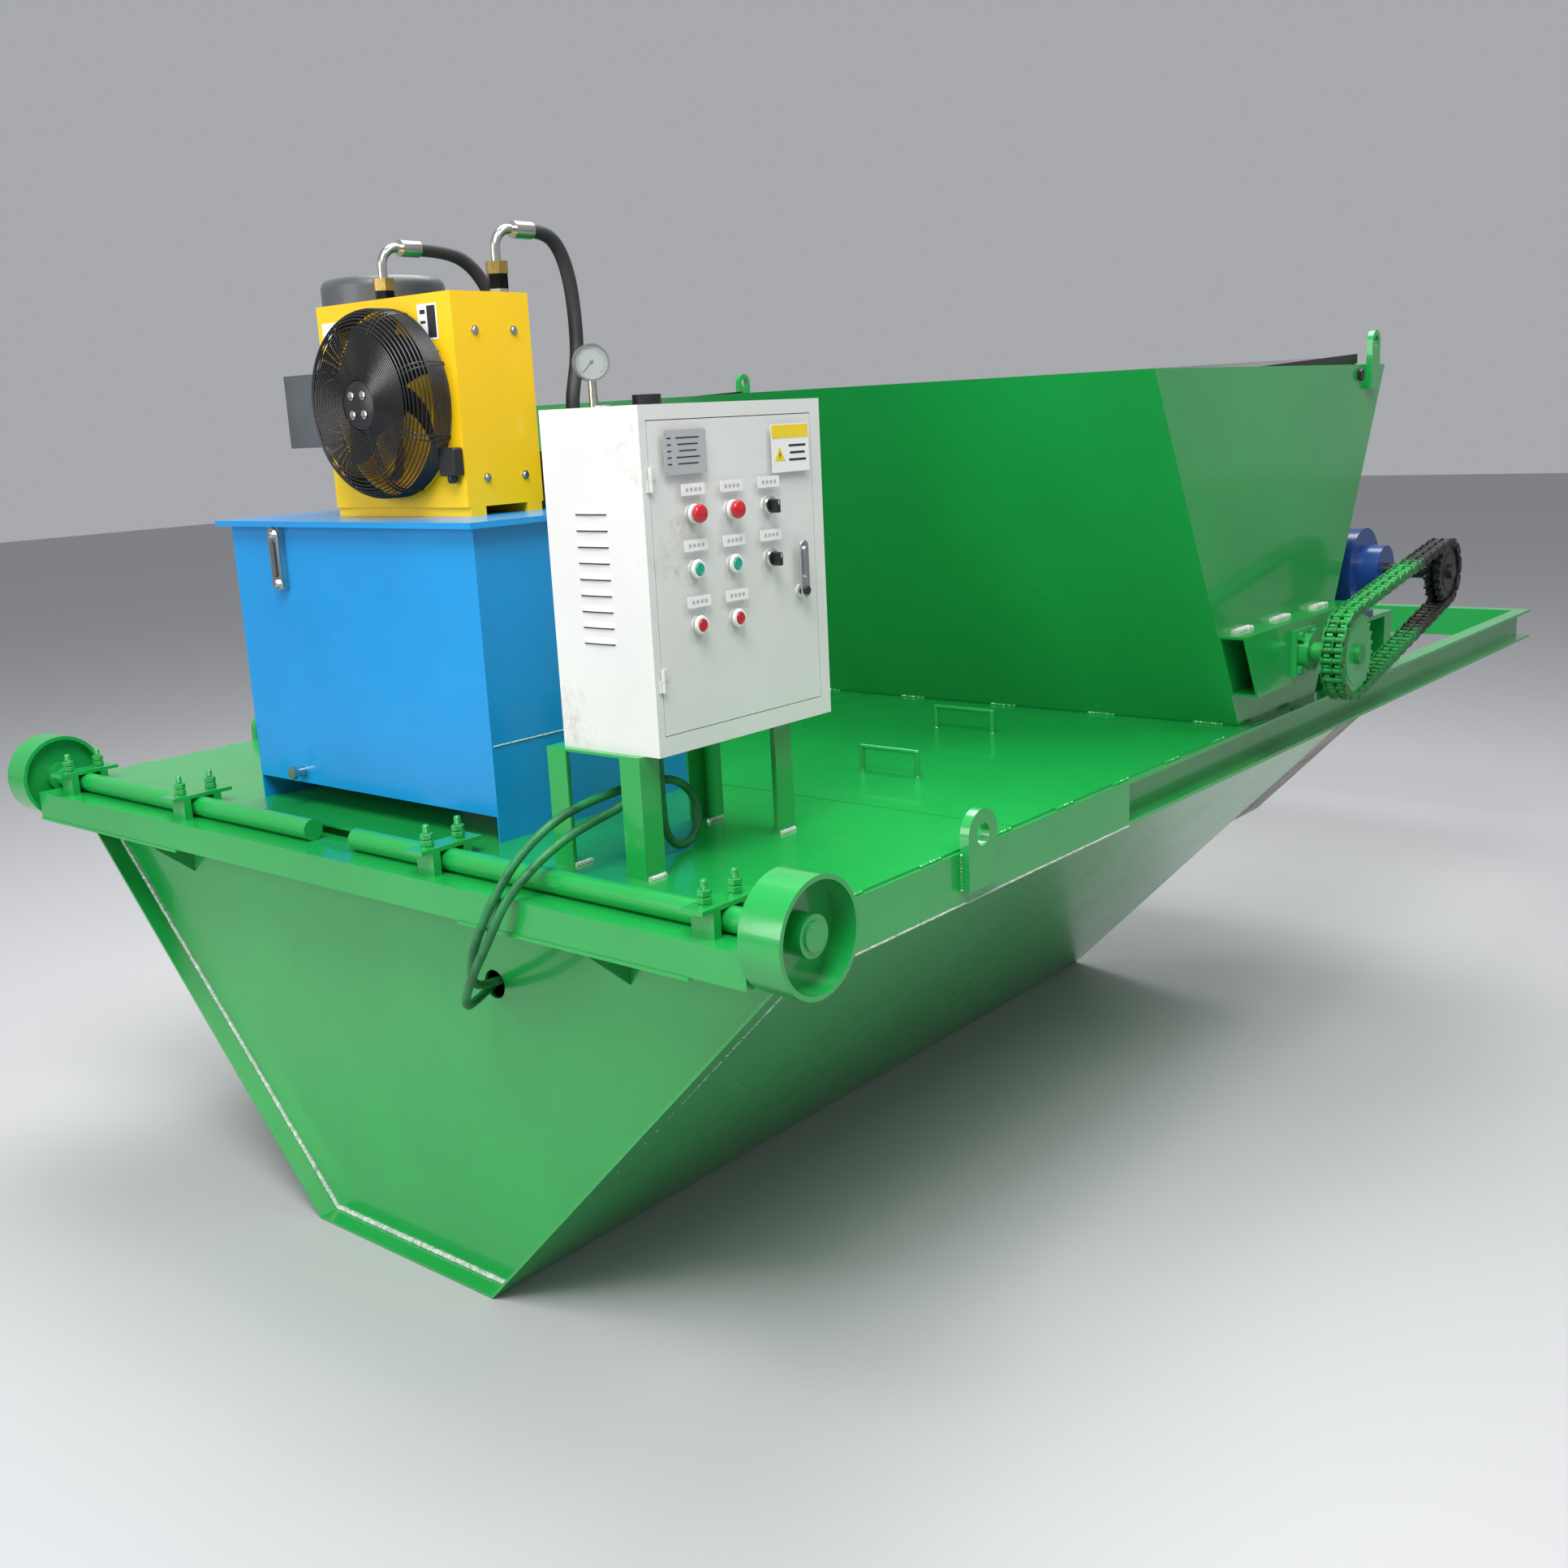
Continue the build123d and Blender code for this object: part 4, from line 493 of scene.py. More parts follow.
def tube(points, radius, sides=10, closed=False):
    """A round section carried along a path, its frame turned from a fixed helper direction."""
    points = np.array(points, float)
    tangents = (np.roll(points, -1, 0) - np.roll(points, 1, 0)) if closed else np.gradient(points, axis=0)
    tangents = tangents / np.linalg.norm(tangents, axis=1)[:, None]
    spread = np.ptp(points, axis=0)
    helper = np.eye(3)[int(np.argmin(spread))]
    first = np.cross(tangents, helper)
    first = first / np.linalg.norm(first, axis=1)[:, None]
    second = np.cross(tangents, first)
    turn = np.linspace(0, 2 * np.pi, sides, endpoint=False)
    radius = np.broadcast_to(radius, len(points))
    ring = np.cos(turn)[None, :, None] * first[:, None] + np.sin(turn)[None, :, None] * second[:, None]
    verts = points[:, None] + radius[:, None, None] * ring
    faces = [tuple(f) for f in grid_faces(len(points), sides, wrap_rows=closed, wrap_columns=True)]
    if not closed:
        faces.append(tuple(range(sides))[::-1])
        faces.append(tuple(range((len(points) - 1) * sides, len(points) * sides)))
    return verts.reshape(-1, 3), faces


def slab(outline, origin, across, upward, depth):
    """A flat outline in the across and upward directions, given depth along their cross product."""
    across, upward = np.array(across, float), np.array(upward, float)
    outline = np.array(outline, float)
    low = np.array(origin) + outline[:, :1] * across + outline[:, 1:] * upward
    high = low + np.cross(across, upward) * depth
    n = len(outline)
    sides = [(i, (i + 1) % n, n + (i + 1) % n, n + i) for i in range(n)]
    return np.concatenate([low, high]), [tuple(range(n))[::-1], tuple(range(n, 2 * n))] + sides


def oblong(width, height, radius, steps=6):
    """A rectangle with round corners, centred, going round anticlockwise."""
    turn = np.linspace(0, np.pi / 2, steps)
    corner = np.stack([np.cos(turn), np.sin(turn)], 1) * radius
    spots = []
    for quarter in range(4):
        angle = quarter * np.pi / 2
        spin = np.array([[np.cos(angle), np.sin(angle)], [-np.sin(angle), np.cos(angle)]])
        sign = np.array([(1, 1), (-1, 1), (-1, -1), (1, -1)][quarter])
        spots.append(corner @ spin + sign * (np.array([width, height]) / 2 - radius))
    return np.concatenate(spots)


def card(width, height, corner, spot, depth, across=X, steps=6):
    """A thin upright plate with round corners, centred on a spot and grown outwards by its depth."""
    return slab(oblong(width, height, corner, steps), spot, across, Z, depth)


def weld_bead(start, end, radius=0.004, ripple=0.006):
    """A bead along a straight seam whose radius rises and falls once per ripple."""
    start, end = np.array(start, float), np.array(end, float)
    length = np.linalg.norm(end - start)
    count = max(int(length / ripple * 4), 8)
    t = np.linspace(0, 1, count)
    wander = np.random.default_rng(7).normal(0, 0.0004, (count, 3))
    swell = radius * (1 + 0.16 * np.sin(t * length / ripple * 2 * np.pi))
    return tube(start + t[:, None] * (end - start) + wander, swell, 7)


# ------------------------------------------------------------------ cords
def make_cord(name, route, diameter, stiffness):
    """One smooth NURBS spline through the chosen control points, in millimetres."""
    points = np.array(route, float) / 1000
    data = bpy.data.curves.new(name, "CURVE")
    data.dimensions, data.bevel_depth, data.bevel_resolution = "3D", diameter / 2, 6
    data.use_fill_caps, data.resolution_u = True, 12
    line = data.splines.new("NURBS")
    line.points.add(len(points) - 1)
    line.points.foreach_set("co", np.column_stack([points, np.ones(len(points))]).ravel())
    line.order_u = 3
    line.use_endpoint_u = True
    made = bpy.data.objects.new(name, data)
    bpy.context.collection.objects.link(made)
    slot_name = "black_rubber" if "hose" in name else "green_cable"
    data.materials.append(MATERIALS[slot_name])
    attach(made, "frame")
    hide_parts(name.replace("_run", ""))
    return made, points


CORDS = {                            # diameter in mm, length in m, stiffness, points in mm
    "power_cable_run": (17, 1.29, "medium", [
        (-1174, -358, 700), (-1230, -372, 708), (-1283, -405, 733), (-1325, -455, 790),
        (-1357, -520, 866), (-1352, -572, 950), (-1312, -606, 1026), (-1245, -630, 1078),
        (-1165, -640, 1098), (-1090, -646, 1104), (-1018, -652, 1109), (-952, -660, 1100),
        (-914, -670, 1064), (-915, -682, 1013), (-951, -692, 980), (-1001, -700, 981),
        (-1037, -706, 1017), (-1044, -709, 1074), (-1043, -708, 1128), (-1043, -708, 1175)]),
    "control_cable_run": (17, 0.893, "medium", [
        (-1174, -333, 686), (-1236, -356, 678), (-1295, -396, 688), (-1340, -450, 730),
        (-1368, -512, 796), (-1375, -572, 872), (-1362, -612, 950), (-1312, -636, 1006),
        (-1245, -652, 1046), (-1172, -664, 1068), (-1110, -679, 1084), (-1083, -691, 1128),
        (-1082, -692, 1175)]),
    "cooler_hose_left_run": (30, 0.624, "stiff", [
        (-787.5, 175, 2163), (-730, 175, 2163), (-662, 168, 2146), (-615, 158, 2090), (-597, 146, 2010),
        (-598, 134, 1920), (-603, 124, 1830), (-602.5, 120, 1745), (-602.5, 120, 1668)]),
    "cooler_hose_right_run": (30, 0.471, "stiff", [
        (-732.5, -130, 2173), (-693, -130, 2173), (-655, -131, 2143), (-634, -134, 2080),
        (-631, -139, 2000), (-640, -147, 1920), (-668, -161, 1865), (-687.5, -170, 1820),
        (-687.5, -170, 1773)]),
}
for cord_name, (diameter, length, stiffness, route) in CORDS.items():
    made, spots = make_cord(cord_name, route, diameter / 1000, stiffness)


# ------------------------------------------------------------------ fan guard and fan
guard_low, guard_high = corners("fan_guard")
fan_centre = (guard_low + guard_high) / 2
fan_centre[0] = box_cooler[0][0]
GUARD_R = (guard_high[1] - guard_low[1]) / 2 - 0.0035
GUARD_DEPTH = box_cooler[0][0] - guard_low[0] - 0.004
SHOULDER = 0.045                     # bend radius between the basket's side and its face
HUB_EDGE = 0.050                     # where the face's wires end at the hub plate


def guard_point(t):
    """Radius and reach along the basket: a straight side, a round shoulder, then a nearly flat face."""
    t = np.asarray(t, float)
    side = np.clip(t / 0.30, 0, 1) * (GUARD_DEPTH - SHOULDER)
    turn = np.clip((t - 0.30) / 0.22, 0, 1) * np.pi / 2
    face = np.clip((t - 0.52) / 0.48, 0, 1)
    radius = GUARD_R - SHOULDER * (1 - np.cos(turn)) - face * (GUARD_R - SHOULDER - HUB_EDGE)
    return radius, side + SHOULDER * np.sin(turn)


def circle(radius, reach, steps=96):
    turn = np.linspace(0, 2 * np.pi, steps, endpoint=False)
    return fan_centre + np.stack([np.full(steps, -reach), radius * np.cos(turn), radius * np.sin(turn)], 1)


def guard_hoops():
    """Hoops wide apart along the side and close together on the face."""
    hoops = []
    for t in np.concatenate([np.linspace(0.03, 0.29, 9), np.linspace(0.31, 0.985, 27)]):
        radius, reach = guard_point(t)
        hoops.append(tube(circle(float(radius), float(reach)), 0.0016, 5, closed=True))
    return hoops


def guard_arms():
    """Eight arms of two wires that run from the rim, over the shoulder, to the hub."""
    arms = []
    spread = np.linspace(0, 1, 26)
    radius, reach = guard_point(spread)
    for arm in range(8):
        for side in (-0.045, 0.045):
            angle = arm * np.pi / 4 + np.pi / 8 + side * (0.25 + spread)
            ray = np.stack([-reach + 0.002, radius * np.cos(angle), radius * np.sin(angle)], 1)
            arms.append(tube(fan_centre + ray, 0.0020, 6))
    return arms


def guard_clips():
    """Four small hooks that hold the basket's rim to the cooler."""
    clips = []
    hook = np.array([(0.0, -0.016), (0.004, -0.020), (0.010, -0.010), (0.010, 0.0), (0.004, 0.004),
                     (-0.0005, 0.003)])
    for angle in (0.9, 2.6, 3.9, 5.6):
        out = np.array([0, np.cos(angle), np.sin(angle)])
        lift = np.outer(GUARD_R - 0.002 + hook[:, 1] * 0.2, out)
        clips.append(tube(fan_centre - np.outer(hook[:, 0] - 0.0005, X) + lift, 0.0024, 6))
    return clips


def make_guard():
    """Wire basket with its clips, a hub plate with the fan's motor behind it, and four bolts."""
    plate = fan_centre - (GUARD_DEPTH + 0.001, 0, 0)
    motor_end = corners("fan_rotor")[0][0] - plate[0] - 0.002
    hub = [(0.001, 0.0), (0.046, 0.0), (0.050, 0.003), (0.050, 0.008), (0.060, 0.012), (0.064, 0.018),
           (0.064, motor_end - 0.006), (0.058, motor_end), (0.001, motor_end)]
    wires = guard_hoops() + guard_arms() + [lathe(hub, plate, X, 36)] + guard_clips()
    piece("fan_guard_wires", *join(wires), "black_steel", "frame", ("fan_guard",), "black_steel")
    head = [(0.001, 0.0), (0.008, 0.0), (0.009, -0.001), (0.009, -0.0024), (0.006, -0.0034), (0.001, -0.0034)]
    bolts = [lathe(head, plate + (0, dy, dz), X, 18) for dy in (-0.019, 0.019) for dz in (-0.019, 0.019)]
    piece("fan_hub_bolts", *join(bolts), "chrome", "frame", slot="chrome")


BLADES = 6
BLADE_ROWS, BLADE_COLUMNS = 14, 9
BLADE_THICK = 0.002
BLADE_ROOT = 0.040


def fan_blade(middle, tip_radius, start):
    """A grid in radius and chord that twists and leans back towards its tip, given a thickness."""
    u, v = np.meshgrid(np.linspace(0, 1, BLADE_ROWS), np.linspace(-0.5, 0.5, BLADE_COLUMNS), indexing="ij")
    radius = BLADE_ROOT + u * (tip_radius - BLADE_ROOT)
    chord = 0.050 + 0.062 * np.sin(u * np.pi * 0.62)
    pitch = np.radians(42 - 20 * u)
    angle = start + 0.45 * u ** 1.5 + v * chord * np.cos(pitch) / radius
    reach = np.clip(v * chord * np.sin(pitch), -0.024, 0.024)
    across = middle[1] + radius * np.cos(angle)
    upward = middle[2] + radius * np.sin(angle)
    sheet = np.stack([middle[0] + reach, across, upward], -1).reshape(-1, 3)
    return closed_sheet(sheet, sheet + (BLADE_THICK, 0, 0), BLADE_ROWS, BLADE_COLUMNS)


def make_fan():
    """Six swept blades on a domed hub."""
    low, high = corners("fan_rotor")
    middle = (low + high) / 2
    tip_radius = (high[1] - low[1]) / 2 - 0.004
    parts = [fan_blade(middle, tip_radius, blade * 2 * np.pi / BLADES) for blade in range(BLADES)]
    half = (high[0] - low[0]) / 2 - 0.001
    hub = [(0.001, -half), (0.030, -half), (0.042, -half + 0.008), (0.045, half - 0.004), (0.040, half),
           (0.001, half)]
    parts.append(lathe(hub, middle, X, 36))
    piece("fan_blades", *join(parts), "black_plastic", "fan", ("fan_rotor",), "black_plastic")


make_guard()
make_fan()


# ------------------------------------------------------------------ cabinet door furniture
shell_low, shell_high = corners("cabinet_shell")
DOOR_FACE = shell_low[1]


def centre_of(node):
    low, high = corners(node)
    return (low + high) / 2


def on_door(node):
    spot = centre_of(node)
    return np.array([spot[0], DOOR_FACE, spot[2]])


SELECTOR_RISE = (0, 0, 0.002)        # a selector's turning axis above the middle of its box


def make_mushroom(node):
    head = [(0.001, -0.002), (0.0105, -0.002), (0.0105, 0.0095), (0.015, 0.0098), (0.0165, 0.0125),
            (0.0165, 0.016), (0.0145, 0.0195), (0.009, 0.0215), (0.001, 0.0220)]
    piece(node + "_head", *lathe(head, on_door(node), OUT), "red_plastic", node, (node,), "red_plastic")


def make_push_cap(node):
    slot_name = "green_plastic" if node.startswith("start") else "red_plastic"
    cap = [(0.001, -0.002), (0.0104, -0.002), (0.0104, 0.0082), (0.0098, 0.0090), (0.0088, 0.0090),
           (0.0082, 0.0084), (0.001, 0.0082)]
    piece(node + "_cap", *lathe(cap, on_door(node), OUT), slot_name, node, (node,), slot_name)


def make_selector(node):
    spot = on_door(node) + SELECTOR_RISE
    base = lathe([(0.001, 0.0), (0.0104, 0.0), (0.0104, 0.0075), (0.001, 0.0078)], spot, OUT)
    grip = card(0.0090, 0.025, 0.003, spot + (0, -0.007, -0.002), 0.016)
    pointer = card(0.0014, 0.009, 0.0006, spot + (0, -0.0232, 0.005), 0.0004)
    piece(node + "_knob", *join([base, grip]), "black_plastic", node, (node,), "black_plastic")
    piece(node + "_pointer", *pointer, "label_white", node, slot="white_paint")


MUSHROOMS = ("stop_mushroom_1", "stop_mushroom_2")
PUSH_CAPS = ("start_button_1", "start_button_2", "stop_button_1", "stop_button_2")
SELECTORS = ("selector_1", "selector_2")


def make_buttons():
    """Mushroom heads, recessed push caps and selector knobs, turned or cut round each control's own axis."""
    for node in MUSHROOMS:
        make_mushroom(node)
    for node in PUSH_CAPS:
        make_push_cap(node)
    for node in SELECTORS:
        make_selector(node)


def make_bezels():
    """Rings round every control, and a blank label strip above each."""
    rings, plated, strips, marks = [], [], [], []
    profile = [(0.0112, 0.0005), (0.0168, 0.0005), (0.0170, 0.003), (0.0155, 0.0062), (0.0118, 0.0066),
               (0.0112, 0.0050)]
    for node in MUSHROOMS + PUSH_CAPS + SELECTORS:
        spot = on_door(node)
        if node in SELECTORS:
            spot = spot + SELECTOR_RISE
        chosen = plated if node in SELECTORS else rings
        chosen.append(turned_ring(profile, spot, OUT))
        label = spot + (0, -0.0002, 0.042)
        strips.append(card(0.060, 0.020, 0.002, label, 0.0014))
        for step in range(4):
            marks.append(card(0.0065, 0.006, 0.001, label + (-0.0165 + 0.011 * step, -0.0015, 0), 0.0003))
    piece("control_bezels", *join(rings), "label_white", "door", slot="white_paint")
    piece("selector_bezels", *join(plated), "chrome", "door", slot="chrome")
    piece("control_labels", *join(strips), "label_white", "door", slot="white_paint")
    piece("control_label_marks", *join(marks), "label_grey", "door", slot="grey_plastic")


def make_rating_plate():
    """A blank grey plate with two columns of ruled lines and a rivet at each corner."""
    plate = np.array([shell_low[0] + 0.102, DOOR_FACE - 0.0002, shell_high[2] - 0.082])
    piece("rating_plate", *card(0.108, 0.076, 0.003, plate, 0.0012), "label_grey", "door", slot="zinc")
    heights = [0.024 - 0.011 * i for i in range(5)]
    lines = [card(0.060 - 0.008 * (i % 3), 0.0022, 0.0008, plate + (0.006, -0.0013, z), 0.0003)
             for i, z in enumerate(heights)]
    lines += [card(0.010, 0.0022, 0.0008, plate + (-0.041, -0.0013, z), 0.0003) for z in heights]
    piece("rating_plate_lines", *join(lines), "black_plastic", "door", slot="black_plastic")
    rivets = [lathe([(0.0015, 0.001), (0.002, 0.0016), (0.0008, 0.0024)], plate + (dx, 0, dz), OUT, 12)
              for dx in (-0.050, 0.050) for dz in (-0.033, 0.033)]
    piece("rating_plate_rivets", *join(rivets), "chrome", "door", slot="chrome")


def make_caution_label():
    """A white label with a yellow band, a yellow triangle with a flash in it, and three ruled lines."""
    label = np.array([shell_low[0] + 0.390, DOOR_FACE - 0.0002, shell_high[2] - 0.088])
    piece("caution_label", *card(0.110, 0.088, 0.002, label, 0.0006), "label_white", "door",
          slot="white_paint")
    band = card(0.106, 0.024, 0.001, label + (0, -0.0007, 0.030), 0.0003)
    triangle = [(-0.015, -0.013), (0.015, -0.013), (0.0, 0.013)]
    sign = slab(triangle, label + (-0.032, -0.0007, -0.010), X, Z, 0.0003)
    piece("caution_band", *join([band, sign]), "label_yellow", "door", slot="yellow_paint")
    bolt_shape = [(-0.002, -0.008), (0.003, 0.0), (0.0005, 0.0005), (0.003, 0.007), (-0.003, 0.0),
                  (0.0, -0.0005)]
    marks = [slab(bolt_shape, label + (-0.032, -0.0011, -0.012), X, Z, 0.0002)]
    for i in range(3):
        spot = label + (0.020, -0.0007, 0.004 - 0.013 * i)
        marks.append(card(0.050 - 0.006 * (i % 2), 0.004, 0.001, spot, 0.0003))
    piece("caution_marks", *join(marks), "black_plastic", "door", slot="black_plastic")


def make_lock():
    """Swing handle: a round-ended plate with a raised grip and a key barrel at its pivot."""
    low, high = corners("door_lock")
    face = DOOR_FACE - 0.0043
    middle = np.array([(low[0] + high[0]) / 2, face, (low[2] + high[2]) / 2])
    height = high[2] - low[2]
    plate = card(0.024, height, 0.0119, middle, 0.0045, steps=10)
    grip = card(0.014, height * 0.55, 0.0069, middle + (0, -0.0045, height * 0.12), 0.0040, steps=8)
    piece("lock_handle_plate", *join([plate, grip]), "chrome", "lock_handle", ("door_lock",), "chrome",
          bevel=0.0012)
    barrel = [(0.001, 0.0), (0.0085, 0.0), (0.0085, 0.0085), (0.0070, 0.0098), (0.001, 0.0098)]
    key = lathe(barrel, middle + (0, 0, -height / 2 + 0.014), OUT, 24)
    piece("lock_key_barrel", *key, "black_plastic", "lock_handle", slot="black_plastic")


LOUVRES = 9
LOUVRE_PITCH = 0.0285
LOUVRE_DROP = 0.170                  # top of the first louvre below the cabinet's top
LIP_DEPTH, LIP_HEIGHT = 0.0048, 0.011
LIP_ROWS, LIP_COLUMNS = 15, 7


def louvre_lip(top):
    """A half-round lip that swells out of the end wall and fades at both ends."""
    u, v = np.meshgrid(np.linspace(0, 1, LIP_ROWS), np.linspace(0, 1, LIP_COLUMNS), indexing="ij")
    swell = LIP_DEPTH * np.sin(np.pi * u) ** 0.35 * np.sin(v * np.pi / 2)
    x = shell_low[0] - swell + 0.0004
    y = -0.735 + 0.085 * u
    sheet = np.stack([x, y, top - LIP_HEIGHT * v], -1).reshape(-1, 3)
    back = sheet.copy()
    back[:, 0] = shell_low[0] + 0.0006
    return closed_sheet(sheet, back, LIP_ROWS, LIP_COLUMNS, flip=True)


def make_louvres():
    """Nine pressed louvres in the cabinet's end wall, each with a painted shadow in the slot under its lip."""
    tops = [shell_high[2] - LOUVRE_DROP - LOUVRE_PITCH * i for i in range(LOUVRES)]
    lips = [louvre_lip(top) for top in tops]
    piece("cabinet_louvres", *join(lips), "white_paint", "frame", slot="white_paint")
    # black strips just proud of the wall, painted as the shadow inside each louvre's opening
    slot_shadows = [card(0.076, 0.0022, 0.0008, (shell_low[0] - 0.0012, -0.6925, top - 0.0125), 0.0008, ACROSS)
             for top in tops]
    piece("louvre_shadows", *join(slot_shadows), "black_plastic", "frame", slot="black_plastic")


make_buttons()
make_bezels()
make_rating_plate()
make_caution_label()
make_lock()
make_louvres()


# ------------------------------------------------------------------ gauge, sight glass and labels
DIAL_RADIUS = 0.0332
TICK_REACH = 0.0300


def make_gauge():
    """Dial face with ticks on a 270 degree arc, a plated bezel and a domed lens, all on the dial's axis."""
    centre = np.array([FRONT + 0.594, -0.294, DECK + 0.929])
    axis = np.array([-0.6, -0.8, 0.0])
    across = np.array([0.8, -0.6, 0.0])
    dial = centre + axis * 0.0082
    face = [(0.001, 0.0), (DIAL_RADIUS, 0.0), (DIAL_RADIUS, 0.0008), (0.001, 0.0008)]
    piece("gauge_dial", *lathe(face, dial, axis, 48), "label_white", "frame", slot="white_paint")
    ticks = []
    for i in range(31):
        angle = np.radians(-135 + 9 * i)
        out = across * np.sin(angle) + np.array(Z) * np.cos(angle)
        length = 0.0062 if i % 5 == 0 else 0.0035
        spot = dial + axis * 0.0009 + out * (TICK_REACH - length / 2)
        ticks.append(slab(oblong(0.0009, length, 0.0003, 3), spot, np.cross(out, axis), out, 0.0003))
    piece("gauge_ticks", *join(ticks), "black_plastic", "frame", slot="black_plastic")
    ring = [(0.0345, 0.0), (0.0372, 0.001), (0.0374, 0.0055), (0.0360, 0.0062), (0.0340, 0.0060),
            (0.0335, 0.0035)]
    seat = centre + axis * 0.0075
    piece("gauge_bezel", *turned_ring(ring, seat, axis, 56), "chrome", "frame", slot="chrome")
    lens = [(0.0338, 0.0046), (0.0338, 0.0054), (0.020, 0.0063), (0.001, 0.0065)]
    piece("gauge_lens", *lathe(lens, seat, axis, 48), "clear_glass", "frame", slot="chrome")


def make_sight_glass():
    """Oil level glass: a plated round-ended frame, a clear tube over dark oil, and two bolts."""
    spot = np.array([corners("tank_body")[0][0] - 0.0142, 0.312, DECK + 0.554])
    plate = card(0.036, 0.134, 0.0175, spot, 0.0035, ACROSS, 8)
    piece("sight_glass_frame", *plate, "chrome", "frame", slot="chrome", bevel=0.001)
    well = card(0.014, 0.080, 0.0068, spot - (0.0036, 0, 0), 0.0010, ACROSS, 8)
    piece("sight_glass_oil", *well, "black_plastic", "frame", slot="black_plastic")
    glass = tube(np.linspace(spot - (0.0055, 0, 0.038), spot - (0.0055, 0, -0.038), 8), 0.0045, 16)
    piece("sight_glass_tube", *glass, "clear_glass", "frame", slot="chrome")
    head = [(0.001, 0.0), (0.0085, 0.0), (0.0085, 0.0055), (0.0060, 0.0075), (0.001, 0.0075)]
    bolts = [lathe(head, spot - (0.0034, 0, dz), (-1, 0, 0), 6) for dz in (-0.053, 0.053)]
    piece("sight_glass_bolts", *join(bolts), "zinc", "frame", slot="zinc")


def make_stickers():
    """Blank stickers on the cooler's front, with dark blocks on the larger one."""
    low, high = box_cooler
    face = low[0] - 0.0004
    spot = np.array([face, low[1] + 0.075, high[2] - 0.055])
    piece("cooler_sticker", *card(0.060, 0.070, 0.001, spot, 0.0004, ACROSS), "label_white", "frame",
          slot="white_paint")
    blocks = ((0.026, 0.062, -0.013, 0.0), (0.016, 0.008, 0.014, 0.020), (0.016, 0.005, 0.014, 0.0))
    dark = [card(width, height, 0.001, spot + (-0.0005, dy, dz), 0.0003, ACROSS)
            for width, height, dy, dz in blocks]
    piece("cooler_sticker_marks", *join(dark), "black_plastic", "frame", slot="black_plastic")
    second = np.array([face, high[1] - 0.040, high[2] - 0.060])
    piece("cooler_sticker_small", *card(0.050, 0.050, 0.001, second, 0.0004, ACROSS), "label_white", "frame",
          slot="white_paint")


def make_panel_bolts():
    """Four hexagon heads with washers on the cooler's near side."""
    low, high = box_cooler
    head = [(0.001, 0.0), (0.010, 0.0), (0.010, 0.0015), (0.0065, 0.002), (0.0065, 0.006), (0.001, 0.0065)]
    heads = [lathe(head, (x, low[1], z), OUT, 6)
             for x in (low[0] + 0.055, high[0] - 0.045) for z in (low[2] + 0.075, high[2] - 0.075)]
    piece("cooler_panel_bolts", *join(heads), "zinc", "frame", slot="zinc")


CORE_TUBES = 22
FIN_FOLDS = 120
FIN_THICK = 0.0006


def make_cooler_core():
    """The radiator core on the cooler's back: rows of flat tubes with a zigzag fin strip between them."""
    low, high = box_cooler
    heights = np.linspace(low[2] + 0.030, high[2] - 0.030, CORE_TUBES)
    middle = (low[1] + high[1]) / 2
    width = high[1] - low[1] - 0.05
    flat_tube = oblong(width, 0.0035, 0.001, 3)
    parts = [slab(flat_tube, (high[0] + 0.0002, middle, z), (0, 1, 0), Z, 0.006) for z in heights]
    pitch = heights[1] - heights[0]
    folds = np.arange(FIN_FOLDS)
    y = np.linspace(low[1] + 0.028, high[1] - 0.028, FIN_FOLDS)
    section = [(0.002, 0), (0.005, 0), (0.005, FIN_THICK), (0.002, FIN_THICK)]
    faces = [tuple(face) for face in grid_faces(FIN_FOLDS, 4, wrap_columns=True)]
    faces += [(3, 2, 1, 0), tuple(range(4 * FIN_FOLDS - 4, 4 * FIN_FOLDS))]
    for z in heights[:-1]:
        height = z + pitch * (0.15 + 0.7 * (folds % 2))
        verts = [(high[0] + dx, y[i], height[i] + dz) for i in folds for dx, dz in section]
        parts.append((verts, faces))
    piece("cooler_core", *join(parts), "black_steel", "frame", slot="black_steel", smooth=False)


def make_terminal_box():
    """The fan's small black terminal box on the cooler's corner, with a cable gland under it."""
    low = box_cooler[0]
    spot = np.array([low[0] - 0.0002, low[1] + 0.028, low[2] + 0.110])
    body = card(0.050, 0.056, 0.006, spot, 0.024, ACROSS)
    gland = lathe([(0.001, 0.0), (0.010, 0.0), (0.010, 0.010), (0.007, 0.016), (0.001, 0.016)],
                  spot + (-0.012, 0, -0.027), (0, 0, -1), 12)
    piece("fan_terminal_box", *join([body, gland]), "black_plastic", "frame", slot="black_plastic",
          bevel=0.002)


CLAMP_ROWS = (1.060, 0.550, -0.330, -1.045)      # the clamps' places across the machine
STUD_SPREAD = 0.038
THREAD_PITCH = 0.0025


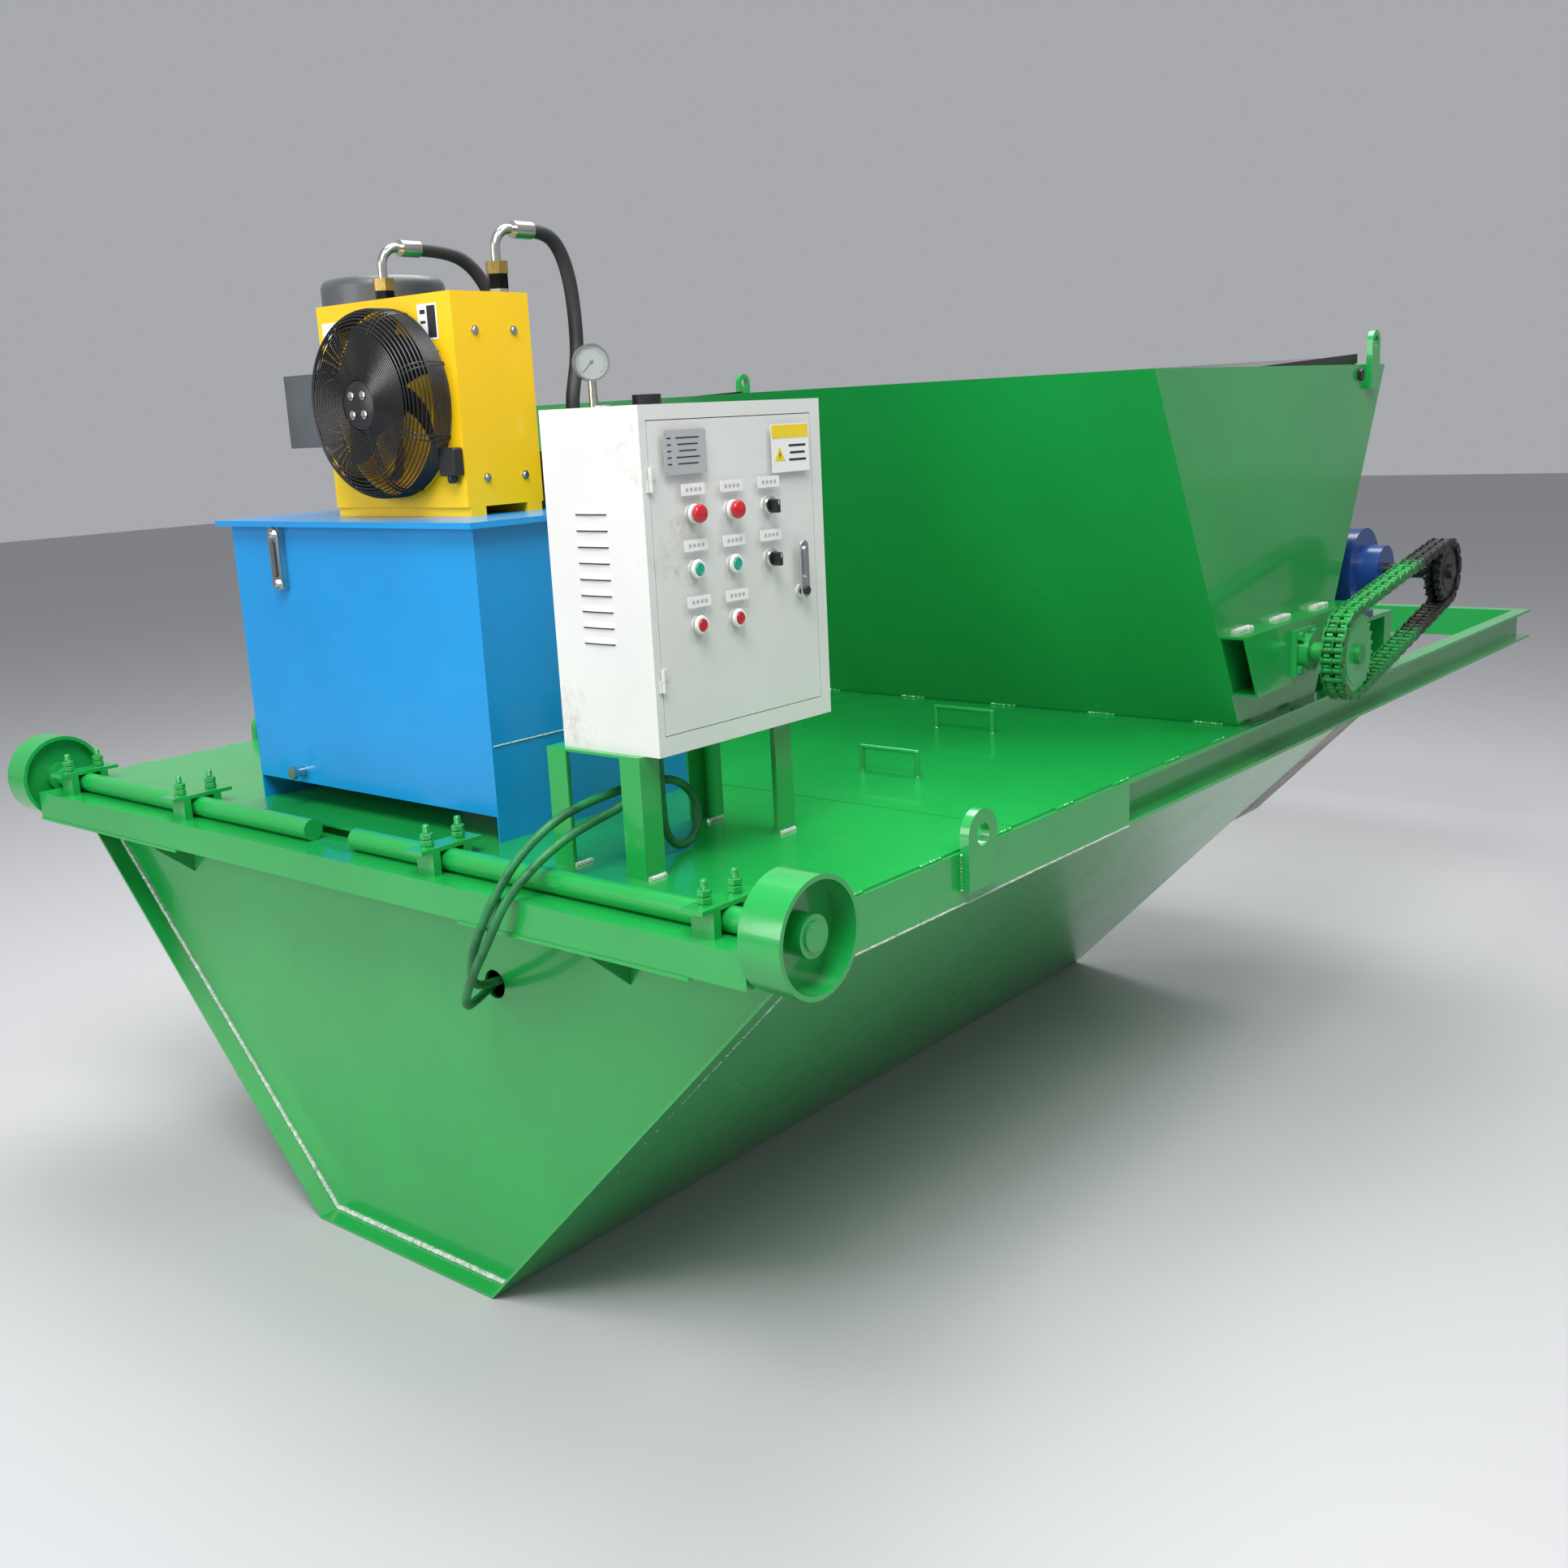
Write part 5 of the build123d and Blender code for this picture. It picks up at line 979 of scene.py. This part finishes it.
def make_clamp_bolts():
    """Studs whose radius ripples along them as a thread, each with a washer, a nut and a lock nut."""
    low, high = corners("clamp_bolts")
    parts = []
    plate = high[2] - 0.044
    reach = np.linspace(low[2], high[2] - 0.002, 120)
    ripple = 0.0066 + 0.0005 * np.cos((reach - low[2]) * 2 * np.pi / THREAD_PITCH)
    stud = [(0.001, low[2])] + list(zip(ripple, reach)) + [(0.0050, high[2]), (0.001, high[2])]
    washer = [(0.0072, 0.0), (0.0128, 0.0), (0.0128, 0.0022), (0.0072, 0.0022)]
    nut = [(0.0072, 0.0), (0.0112, 0.0), (0.0127, 0.0014), (0.0127, 0.0104), (0.0112, 0.0118),
           (0.0072, 0.0118)]
    for y in CLAMP_ROWS:
        for dx in (-STUD_SPREAD, STUD_SPREAD):
            x = FRONT + 0.074 + dx
            parts.append(lathe([(r, z - low[2]) for r, z in stud], (x, y, low[2]), Z, 14))
            parts.append(lathe(washer, (x, y, plate), Z, 24))
            for lift in (0.0024, 0.0152):
                parts.append(lathe(nut, (x, y, plate + lift), Z, 6))
    piece("clamp_studs_and_nuts", *join(parts), "green_paint", "frame", ("clamp_bolts",), "green_paint")


make_clamp_bolts()
make_gauge()
make_sight_glass()
make_stickers()
make_panel_bolts()
make_cooler_core()
make_terminal_box()


# ------------------------------------------------------------------ welds
SIDES = (-1, 1)


def bead_along(start_x, end_x, y, z, radius, ripple=0.006):
    """A bead that runs along the machine."""
    return weld_bead((start_x, y, z), (end_x, y, z), radius, ripple)


def ring_bead(x, y, height):
    """A small ring weld round the foot of a handle's rod."""
    turn = np.linspace(0, 2 * np.pi, 20, endpoint=False)
    ring = 0.0065 * np.stack([np.cos(turn), np.sin(turn), 0 * turn], 1)
    return tube(np.array((x, y, height)) + ring, 0.0022, 6, closed=True)


def make_end_plate_weld():
    """Bright bead where the hull's end plate meets the two slopes and the bottom."""
    x = FRONT + 0.154
    bottom, top, thick = 0.304, 1.145, 0.006
    slope = (top - bottom) / (DECK - 0.105)
    reach = np.sqrt(1 + slope ** 2) * thick
    low = (x, bottom + slope * thick - reach, 0.0085)
    high = (x, top - reach, DECK - 0.106)
    flip = np.array((1, -1, 1))
    seam = [weld_bead(low, high, 0.006), weld_bead(low * flip, high * flip, 0.006),
            weld_bead(low, low * flip, 0.006)]
    piece("end_plate_weld", *join(seam), "weld_bright", "frame", slot="bare_steel")


def make_bright_welds():
    """Unpainted beads at the box tubes, under the rails, at the cabinet's legs and along the tank."""
    beads = []
    for side in SIDES:
        for x in (1.90, 2.13, 2.38):
            for lift in (0.0, 0.009):
                y = side * (1.137 + lift)
                beads.append(bead_along(FRONT + x - 0.045, FRONT + x + 0.045, y, DECK + 0.244, 0.006, 0.011))
        beads.append(bead_along(FRONT + 0.130, FRONT + 1.285, side * 1.1575, DECK - 0.1062, 0.0022))
    low, high = corners("cabinet_stand")
    for x in (low[0] + 0.025, high[0] - 0.025):
        for y in (low[1] - 0.001, high[1] - 0.049):
            beads.append(bead_along(x - 0.022, x + 0.022, y, DECK + 0.002, 0.005, 0.010))
    low, high = corners("tank_body")
    beads.append(bead_along(low[0] + 0.004, high[0] - 0.004, low[1] - 0.0008, DECK + 0.196, 0.0014))
    piece("bright_welds", *join(beads), "weld_bright", "frame", slot="bare_steel")


def make_stitch_welds():
    """Painted stitches at the hopper's foot, the lugs, the rails, the handles' rods and the deck's edge."""
    beads = []
    foot = FRONT + 1.912
    for y in np.linspace(-1.05, 1.05, 8):
        beads.append(weld_bead((foot, y - 0.04, DECK + 0.002), (foot, y + 0.04, DECK + 0.002), 0.004))
    for side in SIDES:
        for x in (FRONT + 0.617, FRONT + 0.717):
            beads.append(weld_bead((x, side * 1.160, DECK - 0.078), (x, side * 1.160, DECK - 0.008), 0.0045))
        for x in np.linspace(0.25, 2.2, 9):
            beads.append(bead_along(FRONT + x, FRONT + x + 0.07, side * 1.1505, DECK - 0.003, 0.0035))
        for x, y in ((1.085, 0.739), (1.085, 0.586), (1.576, 0.628), (1.576, 0.459)):
            beads.append(ring_bead(FRONT + x, side * y, DECK + 0.001))
    edge = FRONT + 0.1265
    for y in (-0.5, -0.7, -0.9):
        beads.append(weld_bead((edge, y, DECK - 0.006), (edge, y - 0.1, DECK - 0.006), 0.003))
    piece("stitch_welds", *join(beads), "green_paint", "frame", slot="green_paint")


make_end_plate_weld()
make_bright_welds()
make_stitch_welds()
